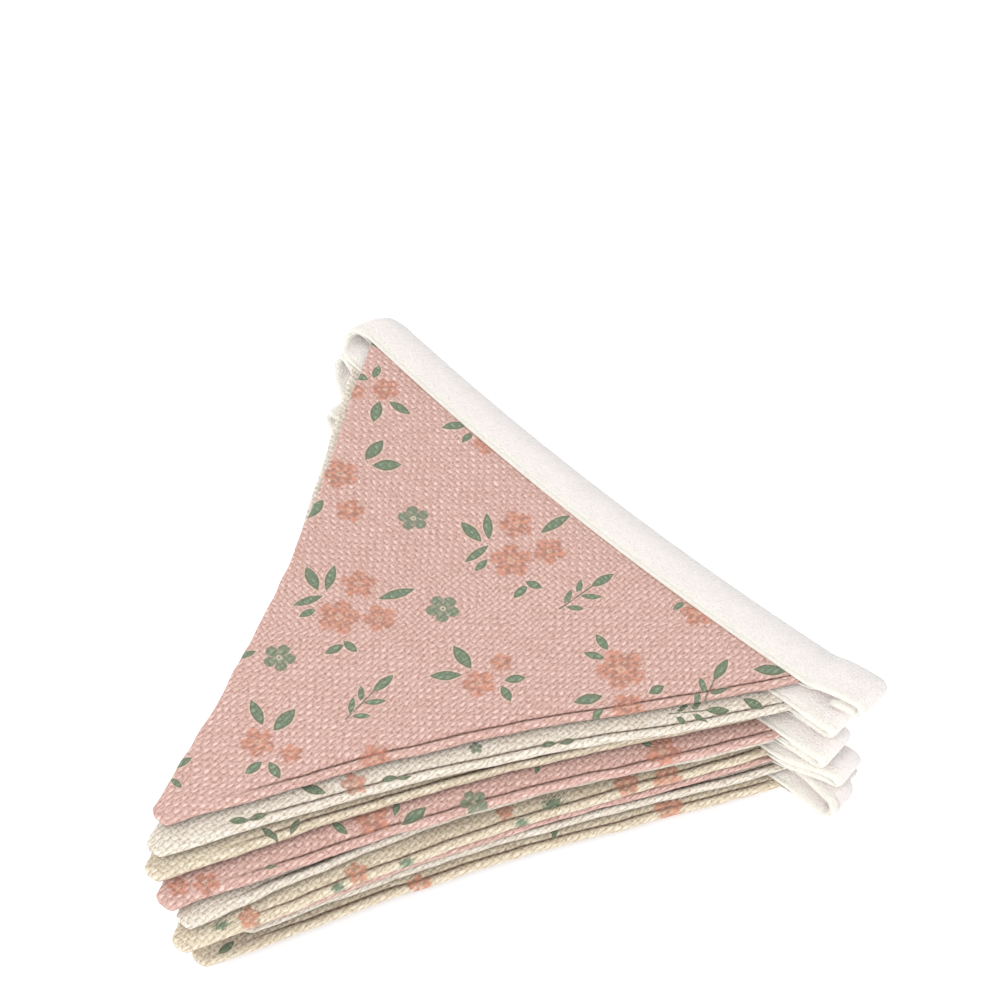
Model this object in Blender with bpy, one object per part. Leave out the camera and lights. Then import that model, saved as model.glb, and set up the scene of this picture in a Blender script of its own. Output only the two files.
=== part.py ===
"""A bunting of ten cloth flags on one tape, folded back and forth into a fan-like pile.

All sizes are in millimetres and become metres as each mesh is made. The pile lies on z = 0.
flag_01 is the top flag and flag_10 the bottom one. In a flag's own plane the middle of its
tape edge is the origin, +X runs along the tape and the tip points to -Y.
"""
import math
from collections import namedtuple

import bmesh
import bpy
from mathutils import Vector

MM = 0.001

# Cloth and tape sizes
FLAG_THICK = 3.0
FLAG_BODY = 2.8
HEM_GROOVE = 2.5
TAPE_WIDTH = 16.0
TAPE_THICK_OVER_FLAG = 3.4
TAPE_THICK_FREE = 2.1
TAPE_THINS_OVER = 5.0
TAPE_EDGE_ROUND = 2.0
TAPE_EDGE_CURL = 0.5
TAPE_LIP_ROUND = 1.0
EDGE_FULLNESS = 0.72
SLOT_OPEN = 1.65
SLOT_DEEP = 8.0
SLOT_SHUT_OPEN = 0.3
SLOT_SHUT_DEEP = 0.8
HEADING_THICK = 1.0
HEADING_LONG = 7.6
GAP = 0.45
HEADING_OVERRUN = 0.8
EDGE_BOW = 1.3

# The pile: room for each layer at the tape and at the tips, and where the room starts to grow
PITCH_AT_TAPE = 3.95
PITCH_AT_TIPS = 4.7
RISE_STARTS = 35.0
TIPS_AT = 167.0
WAVE_HIGH = 0.9
WAVE_LONG_X = 150.0
WAVE_LONG_Y = 210.0
WAVE_FADE = 50.0

# The middle of the pile's box, in the top flag's own plane
CENTRE_X = 8.35
CENTRE_Y = -80.60

PINK = (0.70, 0.43, 0.36)
WHITE = (0.80, 0.77, 0.69)
CREAM = (0.76, 0.66, 0.47)
TAPE_WHITE = (0.92, 0.90, 0.88)

# One row for each flag, top to bottom: its place and turn against the top flag, its size and the
# radius of its tip, how far its tape edge sags and its left corner rises, how much its left and
# right edges draw in, and how far the tape's outer edge droops at its two ends
Flag = namedtuple("Flag", "name colour shift_x shift_y turn width drop tip sag rise_left draw_left"
                          " draw_right droop_left droop_right")
FLAGS = (
    Flag("flag_01", PINK, 0.0, 0.0, 0.0, 180.0, 168.8, 5.0, 3.8, 0.0, 6.2, 6.0, 7.0, 3.5),
    Flag("flag_02", WHITE, 1.9, -7.4, 0.8, 183.0, 167.6, 5.0, 3.5, 0.0, 7.2, 5.8, 3.0, 1.5),
    Flag("flag_03", CREAM, 1.5, -8.8, 2.1, 178.0, 170.6, 5.0, 3.5, 3.0, 6.0, 5.6, 2.0, 1.5),
    Flag("flag_04", PINK, 5.7, -16.0, 3.1, 177.5, 165.3, 5.0, 3.0, 4.0, 6.0, 4.4, 0.5, 0.5),
    Flag("flag_05", WHITE, 5.5, -19.5, 5.5, 175.0, 160.8, 5.0, 3.0, 7.0, 6.0, 8.0, 0.0, 0.0),
    Flag("flag_06", CREAM, 6.9, -22.8, 6.0, 173.0, 162.0, 5.0, 3.0, 9.0, 6.0, 4.4, 0.0, 0.0),
    Flag("flag_07", PINK, 6.8, -21.0, 5.6, 174.5, 159.0, 14.0, 3.0, 8.0, 6.0, 4.0, 0.0, 0.0),
    Flag("flag_08", WHITE, 8.6, -16.0, 4.5, 178.0, 162.5, 16.0, 3.0, 4.0, 6.0, 4.8, 0.0, 0.0),
    Flag("flag_09", CREAM, 10.8, -20.3, 4.7, 176.0, 158.5, 5.0, 3.0, 5.0, 6.0, 3.8, 0.0, 0.0),
    Flag("flag_10", PINK, 7.5, -14.0, 3.6, 178.0, 160.0, 5.0, 3.0, 3.0, 6.0, 5.0, 0.0, 0.0),
)

# One row for each turn of the tape, in order along it: the flag above and the one below, the
# side, how far it reaches past the corners, the radius of its bend, the width it rolls down to
# there and how far it slips outward, away from the flags
Turn = namedtuple("Turn", "upper lower side reach radius width slip")
TURNS = (
    Turn(1, 2, -1, 8.0, 2.6, 16.0, 0.0),
    Turn(2, 3, 1, 13.5, 2.0, 15.0, 0.0),
    Turn(3, 4, -1, 11.5, 2.6, 16.0, 2.8),
    Turn(4, 5, 1, 14.0, 2.0, 14.5, 0.0),
    Turn(5, 6, -1, 6.2, 2.6, 16.0, 0.0),
    Turn(6, 7, 1, 19.3, 2.0, 12.0, 4.0),
    Turn(7, 8, -1, 5.6, 2.4, 16.0, 0.0),
    Turn(8, 9, 1, 16.5, 2.0, 10.5, -2.0),
    Turn(9, 10, -1, 5.6, 2.2, 16.0, 0.0),
)

# The top flag's tail passes its corner, folds under and comes part of the way back
TAIL_REACH = 19.0
TAIL_WIDTH = 13.0
TAIL_SLIP = 3.0
TAIL_RISE = 1.7
TAIL_FOLD_RADIUS = 1.45
TAIL_RISES_OVER = 7.0
TAIL_ENDS_AT = 8.0
TAIL_END_DROOP = 1.0
TAIL_FOLD_SLIP = -1.6
# The bottom flag's tail is short and lies on the surface
LOW_TAIL_REACH = 14.0
LOW_TAIL_STEPS = 4

CLOTH_ROUGHNESS = 0.95
TAPE_ROUGHNESS = 0.9
SMOOTH_BELOW = math.radians(50.0)

EDGE_STEPS = 8
STRAIGHT_STEPS = 3
ARC_STEPS = 6
FLAG_ROWS = (0.0, 0.04, 0.14, 0.27, 0.40, 0.53, 0.66, 0.78, 0.88)
TIP_STEPS = 3
TIP_LAST_ANGLE = math.radians(82.0)
# Insets from a flag's slanting edge: the rolled rim, the sewn groove beside it, and the flat cloth
INSETS = (1.3, 2.9, 4.6)
BODY_COLUMNS = (-0.66, -0.22, 0.22, 0.66)


def smooth(value):
    """A soft step from 0 to 1."""
    value = min(max(value, 0.0), 1.0)
    return value * value * (3.0 - 2.0 * value)


def blend(first, second, share):
    return first + (second - first) * share


def level_of(flag):
    """How many layers lie under a flag."""
    return len(FLAGS) - 1 - FLAGS.index(flag)


def layer_floor(level, x, y):
    """Height of a layer's underside at a place in the pile."""
    out = -y - RISE_STARTS
    share = max(out / (TIPS_AT - RISE_STARTS), 0.0)
    pitch = blend(PITCH_AT_TAPE, PITCH_AT_TIPS, share)
    wave = math.sin(math.tau * x / WAVE_LONG_X) * math.cos(math.tau * y / WAVE_LONG_Y)
    return level * (pitch + WAVE_HIGH * wave * smooth(out / WAVE_FADE) / len(FLAGS))


def in_pile(flag, x, y):
    """A place in a flag's own plane, as a place in the pile."""
    angle = math.radians(flag.turn)
    return (flag.shift_x + x * math.cos(angle) - y * math.sin(angle),
            flag.shift_y + x * math.sin(angle) + y * math.cos(angle))


def tape_edge(flag, x):
    """The sagging line where the cloth leaves the tape."""
    return flag.rise_left * (0.5 - x / flag.width) - flag.sag * (1.0 - (2.0 * x / flag.width) ** 2)


def tape_slope(flag, x):
    """The angle of that line in the flag's own plane."""
    return math.atan(8.0 * flag.sag * x / flag.width ** 2 - flag.rise_left / flag.width)


def tip_centre(flag):
    """Distance from the tape edge to the centre of the tip's rounding."""
    return flag.drop - flag.tip / math.sin(math.atan2(flag.width / 2, flag.drop))


def half_width(flag, down, side):
    """Distance from the flag's middle line to its slanting edge, with the rounded tip."""
    share = min(down / flag.drop, 1.0)
    lean = math.atan2(flag.width / 2, flag.drop)
    draw = flag.draw_left if side < 0 else flag.draw_right
    drawn = draw / math.cos(lean) * math.sin(math.pi * share) ** EDGE_BOW
    straight = flag.width / 2 * (1.0 - share) - drawn
    past_centre = down - tip_centre(flag)
    if past_centre < flag.tip * math.sin(lean):
        return straight
    return min(straight, math.sqrt(max(flag.tip ** 2 - past_centre ** 2, 0.0)))


def flag_rows(flag):
    """Distances from the tape edge at which a flag's cross-sections are taken."""
    lean = math.atan2(flag.width / 2, flag.drop)
    angles = [blend(lean, TIP_LAST_ANGLE, step / TIP_STEPS) for step in range(TIP_STEPS + 1)]
    tip_rows = [tip_centre(flag) + flag.tip * math.sin(angle) for angle in angles]
    return [share * flag.drop for share in FLAG_ROWS if share * flag.drop < tip_rows[0]] + tip_rows


def droop_share(width):
    """Share of the outer edge's droop at a distance across the tape: straight, then curling."""
    share = max(width, 0.0) / TAPE_WIDTH
    return max(share / 2.0, share ** 2)


def droop_at(flag, x):
    """Droop of the tape's outer edge at a place along a flag."""
    return blend(flag.droop_left, flag.droop_right, min(max(x / flag.width + 0.5, 0.0), 1.0))


def to_world(x, y, z):
    return Vector((x - CENTRE_X, y - CENTRE_Y, z)) * MM


def flag_section(flag, down, into_tape=0.0, heading=False):
    """One closed cross-section of a flag, left rim over the top to the right rim and back below."""
    level = level_of(flag)
    left = half_width(flag, down, -1)
    right = half_width(flag, down, 1)
    shrink = min(1.0, (left + right) / 4.0 / INSETS[-1])
    insets = [inset * shrink for inset in INSETS]
    tops = [FLAG_THICK, HEM_GROOVE, FLAG_BODY]
    middle = FLAG_THICK / 2
    top = [(-left, middle)]
    top += [(-left + inset, height) for inset, height in zip(insets, tops)]
    inner_left = -left + insets[-1]
    inner_right = right - insets[-1]
    body = [blend(inner_left, inner_right, (column + 1) / 2) for column in BODY_COLUMNS]
    top += [(x, FLAG_BODY) for x in body]
    top += [(right - inset, height) for inset, height in reversed(list(zip(insets, tops)))]
    bottom = [(right, middle), (right - insets[0], 0.0)]
    bottom += [(x, 0.0) for x in reversed(body)]
    bottom += [(-left + insets[0], 0.0)]
    ring = []
    for x, height in top + bottom:
        if heading:
            centre = TAPE_THICK_OVER_FLAG / 2
            height = centre + (height > middle) * HEADING_THICK / 2 - (height < middle) * HEADING_THICK / 2
            height -= droop_at(flag, x) * droop_share(into_tape)
        edge = tape_edge(flag, x) * (1.0 - min(down / flag.drop, 1.0)) ** 2
        slope = tape_slope(flag, x) * heading
        pile_x, pile_y = in_pile(flag, x - into_tape * math.sin(slope),
                                 edge - down + into_tape * math.cos(slope))
        ring.append(to_world(pile_x, pile_y, layer_floor(level, pile_x, pile_y) + height))
    return ring


def heading_end():
    """Faces that close the heading's curved end, as places in a flag's cross-section."""
    rim = len(INSETS) + 1
    body = len(BODY_COLUMNS)
    right_rim = 2 * len(INSETS) + body + 1
    left_under = right_rim + body + 2

    def under(column):
        return left_under - 1 - column

    faces = [(0, 1, left_under), tuple(range(1, rim + 1)) + (under(0), left_under)]
    faces += [(rim + column, rim + column + 1, under(column + 1), under(column)) for column in range(body - 1)]
    faces.append(tuple(range(rim + body - 1, right_rim)) + (right_rim + 1, under(body - 1)))
    faces.append((right_rim - 1, right_rim, right_rim + 1))
    return faces


def skin(name, sections, colour, roughness, first_end=None):
    """One closed solid through a row of cross-sections with the same number of points."""
    mesh = bpy.data.meshes.new(name)
    work = bmesh.new()
    rings = [[work.verts.new(point) for point in section] for section in sections]
    count = len(rings[0])
    for first, second in zip(rings, rings[1:]):
        for index in range(count):
            after = (index + 1) % count
            work.faces.new((first[index], first[after], second[after], second[index]))
    for places in first_end or (range(count),):
        work.faces.new([rings[0][place] for place in places])
    work.faces.new(rings[-1])
    bmesh.ops.recalc_face_normals(work, faces=work.faces)
    work.to_mesh(mesh)
    work.free()
    mesh.shade_smooth()
    mesh.set_sharp_from_angle(angle=SMOOTH_BELOW)
    piece = bpy.data.objects.new(name, mesh)
    bpy.context.scene.collection.objects.link(piece)
    finish = bpy.data.materials.new(name + "_cloth")
    finish.use_nodes = True
    shader = finish.node_tree.nodes["Principled BSDF"]
    shader.inputs["Base Color"].default_value = (*colour, 1.0)
    shader.inputs["Roughness"].default_value = roughness
    shader.inputs["Metallic"].default_value = 0.0
    mesh.materials.append(finish)
    return piece


def make_flag(flag):
    """The heading inside the tape, then the cloth from the tape to the rounded tip."""
    sections = [flag_section(flag, 0.0, HEADING_LONG, heading=True),
                flag_section(flag, 0.0, -GAP, heading=True)]
    sections += [flag_section(flag, down, -GAP * (down == 0.0)) for down in flag_rows(flag)]
    return skin(flag.name, sections, flag.colour, CLOTH_ROUGHNESS, heading_end())


# A place along the tape: its inner edge's point, the way across it, its width and thickness, its
# slot's opening and depth, and how far its outer edge droops
Station = namedtuple("Station", "point across width thick slot_open slot_deep droop")


def tape_place(flag, x):
    """The tape's inner edge at a place along a flag: its point, the way along and the way across."""
    slope = tape_slope(flag, x) + math.radians(flag.turn)
    pile_x, pile_y = in_pile(flag, x, tape_edge(flag, x))
    height = layer_floor(level_of(flag), pile_x, pile_y) + TAPE_THICK_OVER_FLAG / 2
    along = Vector((math.cos(slope), math.sin(slope), 0.0))
    across = Vector((-math.sin(slope), math.cos(slope), 0.0))
    return Vector((pile_x, pile_y, height)), along, across


def corner(flag, side):
    """The same at a flag's left or right corner, with the way out from the flag."""
    point, along, across = tape_place(flag, side * (flag.width / 2 + HEADING_OVERRUN))
    return point, along * side, across


def tape_on_flag(flag, way):
    """Stations along a flag's tape edge; way is 1 from left to right and -1 the other way."""
    reach = flag.width / 2 + HEADING_OVERRUN
    stations = []
    for step in range(EDGE_STEPS + 1):
        x = way * blend(-reach, reach, step / EDGE_STEPS)
        point, _, across = tape_place(flag, x)
        stations.append(Station(point, across, TAPE_WIDTH, TAPE_THICK_OVER_FLAG,
                                SLOT_OPEN, SLOT_DEEP, droop_at(flag, x)))
    return stations


def hairpin(reach, radius, spread):
    """Out, round and back in a plane: pairs of distance out and height about the middle."""
    straight = reach - radius
    outward = [(straight * step / STRAIGHT_STEPS,
                blend(spread / 2, radius, smooth(step / STRAIGHT_STEPS)))
               for step in range(1, STRAIGHT_STEPS + 1)]
    bend = [(straight + radius * math.cos(angle), radius * math.sin(angle))
            for angle in (blend(math.pi / 2, -math.pi / 2, step / ARC_STEPS) for step in range(1, ARC_STEPS))]
    return outward + bend + [(out, -height) for out, height in reversed(outward)]


def free_thick(out):
    """The tape thins from its thickness over a flag to its own as it leaves the corner."""
    return blend(TAPE_THICK_OVER_FLAG, TAPE_THICK_FREE, smooth(out / TAPE_THINS_OVER))


def tape_turn(turn):
    """Stations round the fold between two flags, without those at the two corners."""
    upper = FLAGS[turn.upper - 1]
    lower = FLAGS[turn.lower - 1]
    start, out_start, across_start = corner(upper, turn.side)
    end, out_end, across_end = corner(lower, turn.side)
    profile = hairpin(turn.reach, turn.radius, start.z - end.z)
    droops = [flag.droop_left if turn.side < 0 else flag.droop_right for flag in (upper, lower)]
    stations = []
    for step, (out, height) in enumerate(profile):
        share = smooth((step + 1) / (len(profile) + 1))
        loose = smooth(out / turn.reach)
        way_out = out_start.lerp(out_end, share).normalized()
        across = across_start.lerp(across_end, share).normalized()
        point = start.lerp(end, share) + way_out * out + across * turn.slip * loose
        point.z = (start.z + end.z) / 2 + height
        stations.append(Station(point, across, blend(TAPE_WIDTH, turn.width, loose), free_thick(out),
                                SLOT_SHUT_OPEN, SLOT_SHUT_DEEP, blend(droops[0], droops[1], share)))
    return stations


def top_tail():
    """The top tail, from its folded-under end back to the corner."""
    flag = FLAGS[0]
    start, out, across = corner(flag, 1)
    profile = hairpin(TAIL_REACH, TAIL_FOLD_RADIUS, 2 * TAIL_FOLD_RADIUS)
    profile = [(distance, height) for distance, height in profile
               if height > 0.0 or distance > TAIL_ENDS_AT]
    stations = []
    for step, (distance, height) in enumerate(profile):
        share = smooth((step + 1) / len(profile))
        loose = smooth(distance / TAIL_REACH)
        rise = TAIL_RISE * smooth(distance / TAIL_RISES_OVER) + height - TAIL_FOLD_RADIUS
        slip = TAIL_SLIP * loose + TAIL_FOLD_SLIP * share
        point = start + out * distance + across * slip + Vector((0.0, 0.0, rise))
        stations.append(Station(point, across, blend(TAPE_WIDTH, TAIL_WIDTH, loose),
                                free_thick(distance), SLOT_SHUT_OPEN, SLOT_SHUT_DEEP,
                                blend(flag.droop_right, TAIL_END_DROOP, loose)))
    return list(reversed(stations))


def low_tail():
    """The bottom tail, from the corner to its cut end, lying on the surface."""
    start, out, across = corner(FLAGS[-1], 1)
    stations = []
    for step in range(1, LOW_TAIL_STEPS + 1):
        distance = LOW_TAIL_REACH * step / LOW_TAIL_STEPS
        thick = free_thick(distance)
        point = start + out * distance
        point.z = thick / 2
        stations.append(Station(point, across, TAPE_WIDTH, thick, SLOT_SHUT_OPEN, SLOT_SHUT_DEEP, 0.0))
    return stations


def tape_section(station, along):
    """The tape's cross-section: folded lengthwise, open along its inner edge for the heading."""
    half = station.thick / 2
    slot = station.slot_open / 2
    upward = station.across.cross(along).normalized()
    edge = station.width
    upper = [(edge - TAPE_EDGE_CURL, EDGE_FULLNESS * half), (edge - TAPE_EDGE_ROUND, half),
             (edge / 2, half), (TAPE_LIP_ROUND, half), (0.0, EDGE_FULLNESS * half),
             (0.0, slot), (station.slot_deep, slot)]
    outline = [(edge, 0.0)] + upper + [(width, -height) for width, height in reversed(upper)]
    ring = []
    for width, height in outline:
        point = station.point + station.across * width + upward * height
        ring.append(to_world(point.x, point.y, point.z - station.droop * droop_share(width)))
    return ring


def make_tape():
    """One solid from the top tail, back and forth over every flag, to the bottom tail."""
    stations = top_tail()
    for index, flag in enumerate(FLAGS):
        stations += tape_on_flag(flag, -1 if index % 2 == 0 else 1)
        if index < len(TURNS):
            stations += tape_turn(TURNS[index])
    stations += low_tail()
    last = len(stations) - 1
    sections = []
    for index, station in enumerate(stations):
        along = stations[min(index + 1, last)].point - stations[max(index - 1, 0)].point
        sections.append(tape_section(station, along.normalized()))
    return skin("tape", sections, TAPE_WHITE, TAPE_ROUGHNESS)


def main():
    for piece in list(bpy.data.objects):
        bpy.data.objects.remove(piece, do_unlink=True)
    for flag in FLAGS:
        make_flag(flag)
    make_tape()


main()
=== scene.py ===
"""Printed cloth bunting, folded back and forth into a fan-like pile.

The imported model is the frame. Ten flags and the tape that they are sewn into are made on the
same named sizes as its solids, with hems, stitches, weave and a small floral print. Sizes are
in millimetres unless a name or a property says otherwise. flag_01 is the top flag. In a flag's
own plane the middle of its tape edge is the origin, +X runs along the tape and the tip points
to -Y.
"""
import math
from collections import namedtuple

import bpy
import numpy as np
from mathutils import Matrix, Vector


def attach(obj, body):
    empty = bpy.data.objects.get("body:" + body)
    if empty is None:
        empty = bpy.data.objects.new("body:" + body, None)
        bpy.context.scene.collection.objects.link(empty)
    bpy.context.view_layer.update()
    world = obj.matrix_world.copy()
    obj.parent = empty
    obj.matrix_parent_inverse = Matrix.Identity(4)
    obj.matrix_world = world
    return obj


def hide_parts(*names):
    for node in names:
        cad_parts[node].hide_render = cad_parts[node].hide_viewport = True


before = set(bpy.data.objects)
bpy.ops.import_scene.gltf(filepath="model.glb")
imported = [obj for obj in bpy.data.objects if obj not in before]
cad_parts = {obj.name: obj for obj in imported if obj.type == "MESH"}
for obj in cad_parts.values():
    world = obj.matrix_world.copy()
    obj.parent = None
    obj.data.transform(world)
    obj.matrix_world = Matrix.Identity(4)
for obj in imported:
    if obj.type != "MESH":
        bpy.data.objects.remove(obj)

bl_info = {
    "name": "Folded Bunting",
    "version": (1, 0, 0),
    "blender": (4, 5, 0),
    "location": "3D View > Sidebar > Bunting",
    "description": "Dresses a folded bunting with hemmed printed flags, soft tape and stitching",
    "category": "Object",
}

MM = 0.001

# The pile, on the sizes of its solids; only the free tape is a little fuller than there
TAPE_WIDTH = 16.0
TAPE_THICK_OVER_FLAG = 3.4
TAPE_THICK_FREE = 2.8
TAPE_THINS_OVER = 5.0
GAP = 0.45
HEADING_OVERRUN = 0.8
EDGE_BOW = 1.3
PITCH_AT_TAPE = 3.95
PITCH_AT_TIPS = 4.7
RISE_STARTS = 35.0
TIPS_AT = 167.0
WAVE_HIGH = 0.9
WAVE_LONG_X = 150.0
WAVE_LONG_Y = 210.0
WAVE_FADE = 50.0
CENTRE_X = 8.35
CENTRE_Y = -80.60

# One row for each flag, top to bottom: its cloth, its place and turn against the top flag, its
# size, how far its tape edge sags and its left corner rises, how much its left and right edges
# draw in, and how far the tape's outer edge droops at its two ends
Flag = namedtuple("Flag", "name cloth shift_x shift_y turn width drop tip sag rise_left draw_left"
                          " draw_right droop_left droop_right")
FLAGS = (
    Flag("flag_01", "pink", 0.0, 0.0, 0.0, 180.0, 168.8, 5.0, 3.8, 0.0, 6.2, 6.0, 7.0, 3.5),
    Flag("flag_02", "white", 1.9, -7.4, 0.8, 183.0, 167.6, 5.0, 3.5, 0.0, 7.2, 5.8, 3.0, 1.5),
    Flag("flag_03", "cream", 1.5, -8.8, 2.1, 178.0, 170.6, 5.0, 3.5, 3.0, 6.0, 5.6, 2.0, 1.5),
    Flag("flag_04", "pink", 5.7, -16.0, 3.1, 177.5, 165.3, 5.0, 3.0, 4.0, 6.0, 4.4, 0.5, 0.5),
    Flag("flag_05", "white", 5.5, -19.5, 5.5, 175.0, 160.8, 5.0, 3.0, 7.0, 6.0, 8.0, 0.0, 0.0),
    Flag("flag_06", "cream", 6.9, -22.8, 6.0, 173.0, 162.0, 5.0, 3.0, 9.0, 6.0, 4.4, 0.0, 0.0),
    Flag("flag_07", "pink", 6.8, -21.0, 5.6, 174.5, 159.0, 14.0, 3.0, 8.0, 6.0, 4.0, 0.0, 0.0),
    Flag("flag_08", "white", 8.6, -16.0, 4.5, 178.0, 162.5, 16.0, 3.0, 4.0, 6.0, 4.8, 0.0, 0.0),
    Flag("flag_09", "cream", 10.8, -20.3, 4.7, 176.0, 158.5, 5.0, 3.0, 5.0, 6.0, 3.8, 0.0, 0.0),
    Flag("flag_10", "pink", 7.5, -14.0, 3.6, 178.0, 160.0, 5.0, 3.0, 3.0, 6.0, 5.0, 0.0, 0.0),
)

# One row for each turn of the tape, in order along it: the flag above and the one below, the
# side, how far it reaches past the corners, the radius of its bend, the width it rolls down to
# there and how far it slips outward
Turn = namedtuple("Turn", "upper lower side reach radius width slip")
TURNS = (
    Turn(1, 2, -1, 8.0, 2.6, 16.0, 0.0),
    Turn(2, 3, 1, 13.5, 2.0, 15.0, 0.0),
    Turn(3, 4, -1, 11.5, 2.6, 16.0, 2.8),
    Turn(4, 5, 1, 14.0, 2.0, 14.5, 0.0),
    Turn(5, 6, -1, 6.2, 2.6, 16.0, 0.0),
    Turn(6, 7, 1, 19.3, 2.0, 12.0, 4.0),
    Turn(7, 8, -1, 5.6, 2.4, 16.0, 0.0),
    Turn(8, 9, 1, 16.5, 2.0, 10.5, -2.0),
    Turn(9, 10, -1, 5.6, 2.2, 16.0, 0.0),
)
TAIL_REACH = 19.0
TAIL_WIDTH = 13.0
TAIL_THICK = 2.6
TAIL_SLIP = 3.0
TAIL_RISE = 1.7
TAIL_FOLD_RADIUS = 1.45
TAIL_FOLD_SLIP = -1.6
TAIL_RISES_OVER = 7.0
TAIL_ENDS_AT = 8.0
TAIL_END_DROOP = 1.0
LOW_TAIL_REACH = 14.0

# A flag's cross-section at its right edge, as pairs of distance in from that edge and height:
# the puffed rim, the groove that the hem stitches pull down, the flat cloth, and the turned hem
HEM_TOP = ((0.15, 2.15), (0.50, 2.70), (1.10, 3.02), (1.75, 2.95), (2.30, 2.55), (2.65, 2.05),
           (2.90, 1.90), (3.15, 2.05), (3.55, 2.50), (4.20, 2.78), (5.20, 2.84))
HEM_BELOW = ((0.15, 0.85), (0.50, 0.30), (1.10, 0.02), (2.20, 0.0), (2.90, 0.25), (3.60, 0.0),
             (5.00, 0.05), (5.35, 0.50), (5.50, 1.30), (5.90, 1.55))
# The left slanting edge is a soft roll instead, where the cloth turns over with no seam on top
ROLL_TOP = ((0.15, 1.95), (0.50, 2.35), (1.10, 2.66), (1.75, 2.80), (2.30, 2.84), (2.65, 2.85),
            (2.90, 2.86), (3.15, 2.86), (3.55, 2.85), (4.20, 2.84), (5.20, 2.84))
RIM_HEIGHT = 1.5
GROOVE_INSET = 2.90
GROOVE_HEIGHT = 1.90
SEAM_INSET = 3.0
SEAM_STOPS = 14.0
SEAM_FADES = 24.0
SWELL_INSET = 1.2
SWELL_WIDE = 1.3
STITCH_LIFT = 0.06
STITCH_LINE_STEP = 1.5
# Half the width of a row is never less than this, and its profiles shrink so that both fit in it
LEAST_HALF = 0.05
PROFILES_FIT = 2.3
HEADING_MIDDLE = 1.7
HEADING_HALF = 0.5
HEADING_INTO_TAPE = 7.0
HEADING_RINGS = (HEADING_INTO_TAPE, HEADING_INTO_TAPE / 2, -GAP)
TUCK_LONG = 5.0
TIP_BEVEL = 1.5
TIP_CLOSES = 0.02

TOP_COLUMNS = 92
UNDER_COLUMNS = 14
ROW_STEP = 1.15
TIP_ROWS = 14

# Soft creases in the flags: the flag, where the crease starts and ends in the flag's own plane,
# how high it stands (a trough is negative) and how wide it is
Crease = namedtuple("Crease", "flag from_x from_y to_x to_y high wide")
CREASES = (
    Crease(1, -78.0, -10.0, -12.0, -128.0, 0.35, 11.0),
    Crease(1, 70.0, -16.0, 12.0, -120.0, 0.40, 9.0),
    Crease(1, -20.0, -20.0, 30.0, -74.0, -0.35, 16.0),
    Crease(1, -4.0, -150.0, 12.0, -112.0, -0.35, 10.0),
    Crease(2, 66.0, -24.0, 6.0, -140.0, 0.30, 8.0),
    Crease(3, 40.0, -60.0, 0.0, -150.0, -0.30, 10.0),
    Crease(4, 70.0, -22.0, 10.0, -130.0, 0.30, 8.0),
    Crease(5, 30.0, -80.0, 2.0, -150.0, -0.30, 9.0),
    Crease(6, 60.0, -40.0, 10.0, -120.0, 0.30, 12.0),
    Crease(6, 8.0, -130.0, 0.0, -158.0, 0.50, 9.0),
    Crease(9, 50.0, -50.0, 6.0, -130.0, 0.30, 10.0),
)
CREASES_START = 20.0

# Waves along the hems where the stitches gather them: length, height of the rim's swell, and
# how far the outline moves
HEM_WAVES = ((9.0, 0.12, 0.07), (17.0, 0.10, 0.10), (43.0, 0.0, 0.22))
HEM_WAVES_START = 12.0

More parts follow.
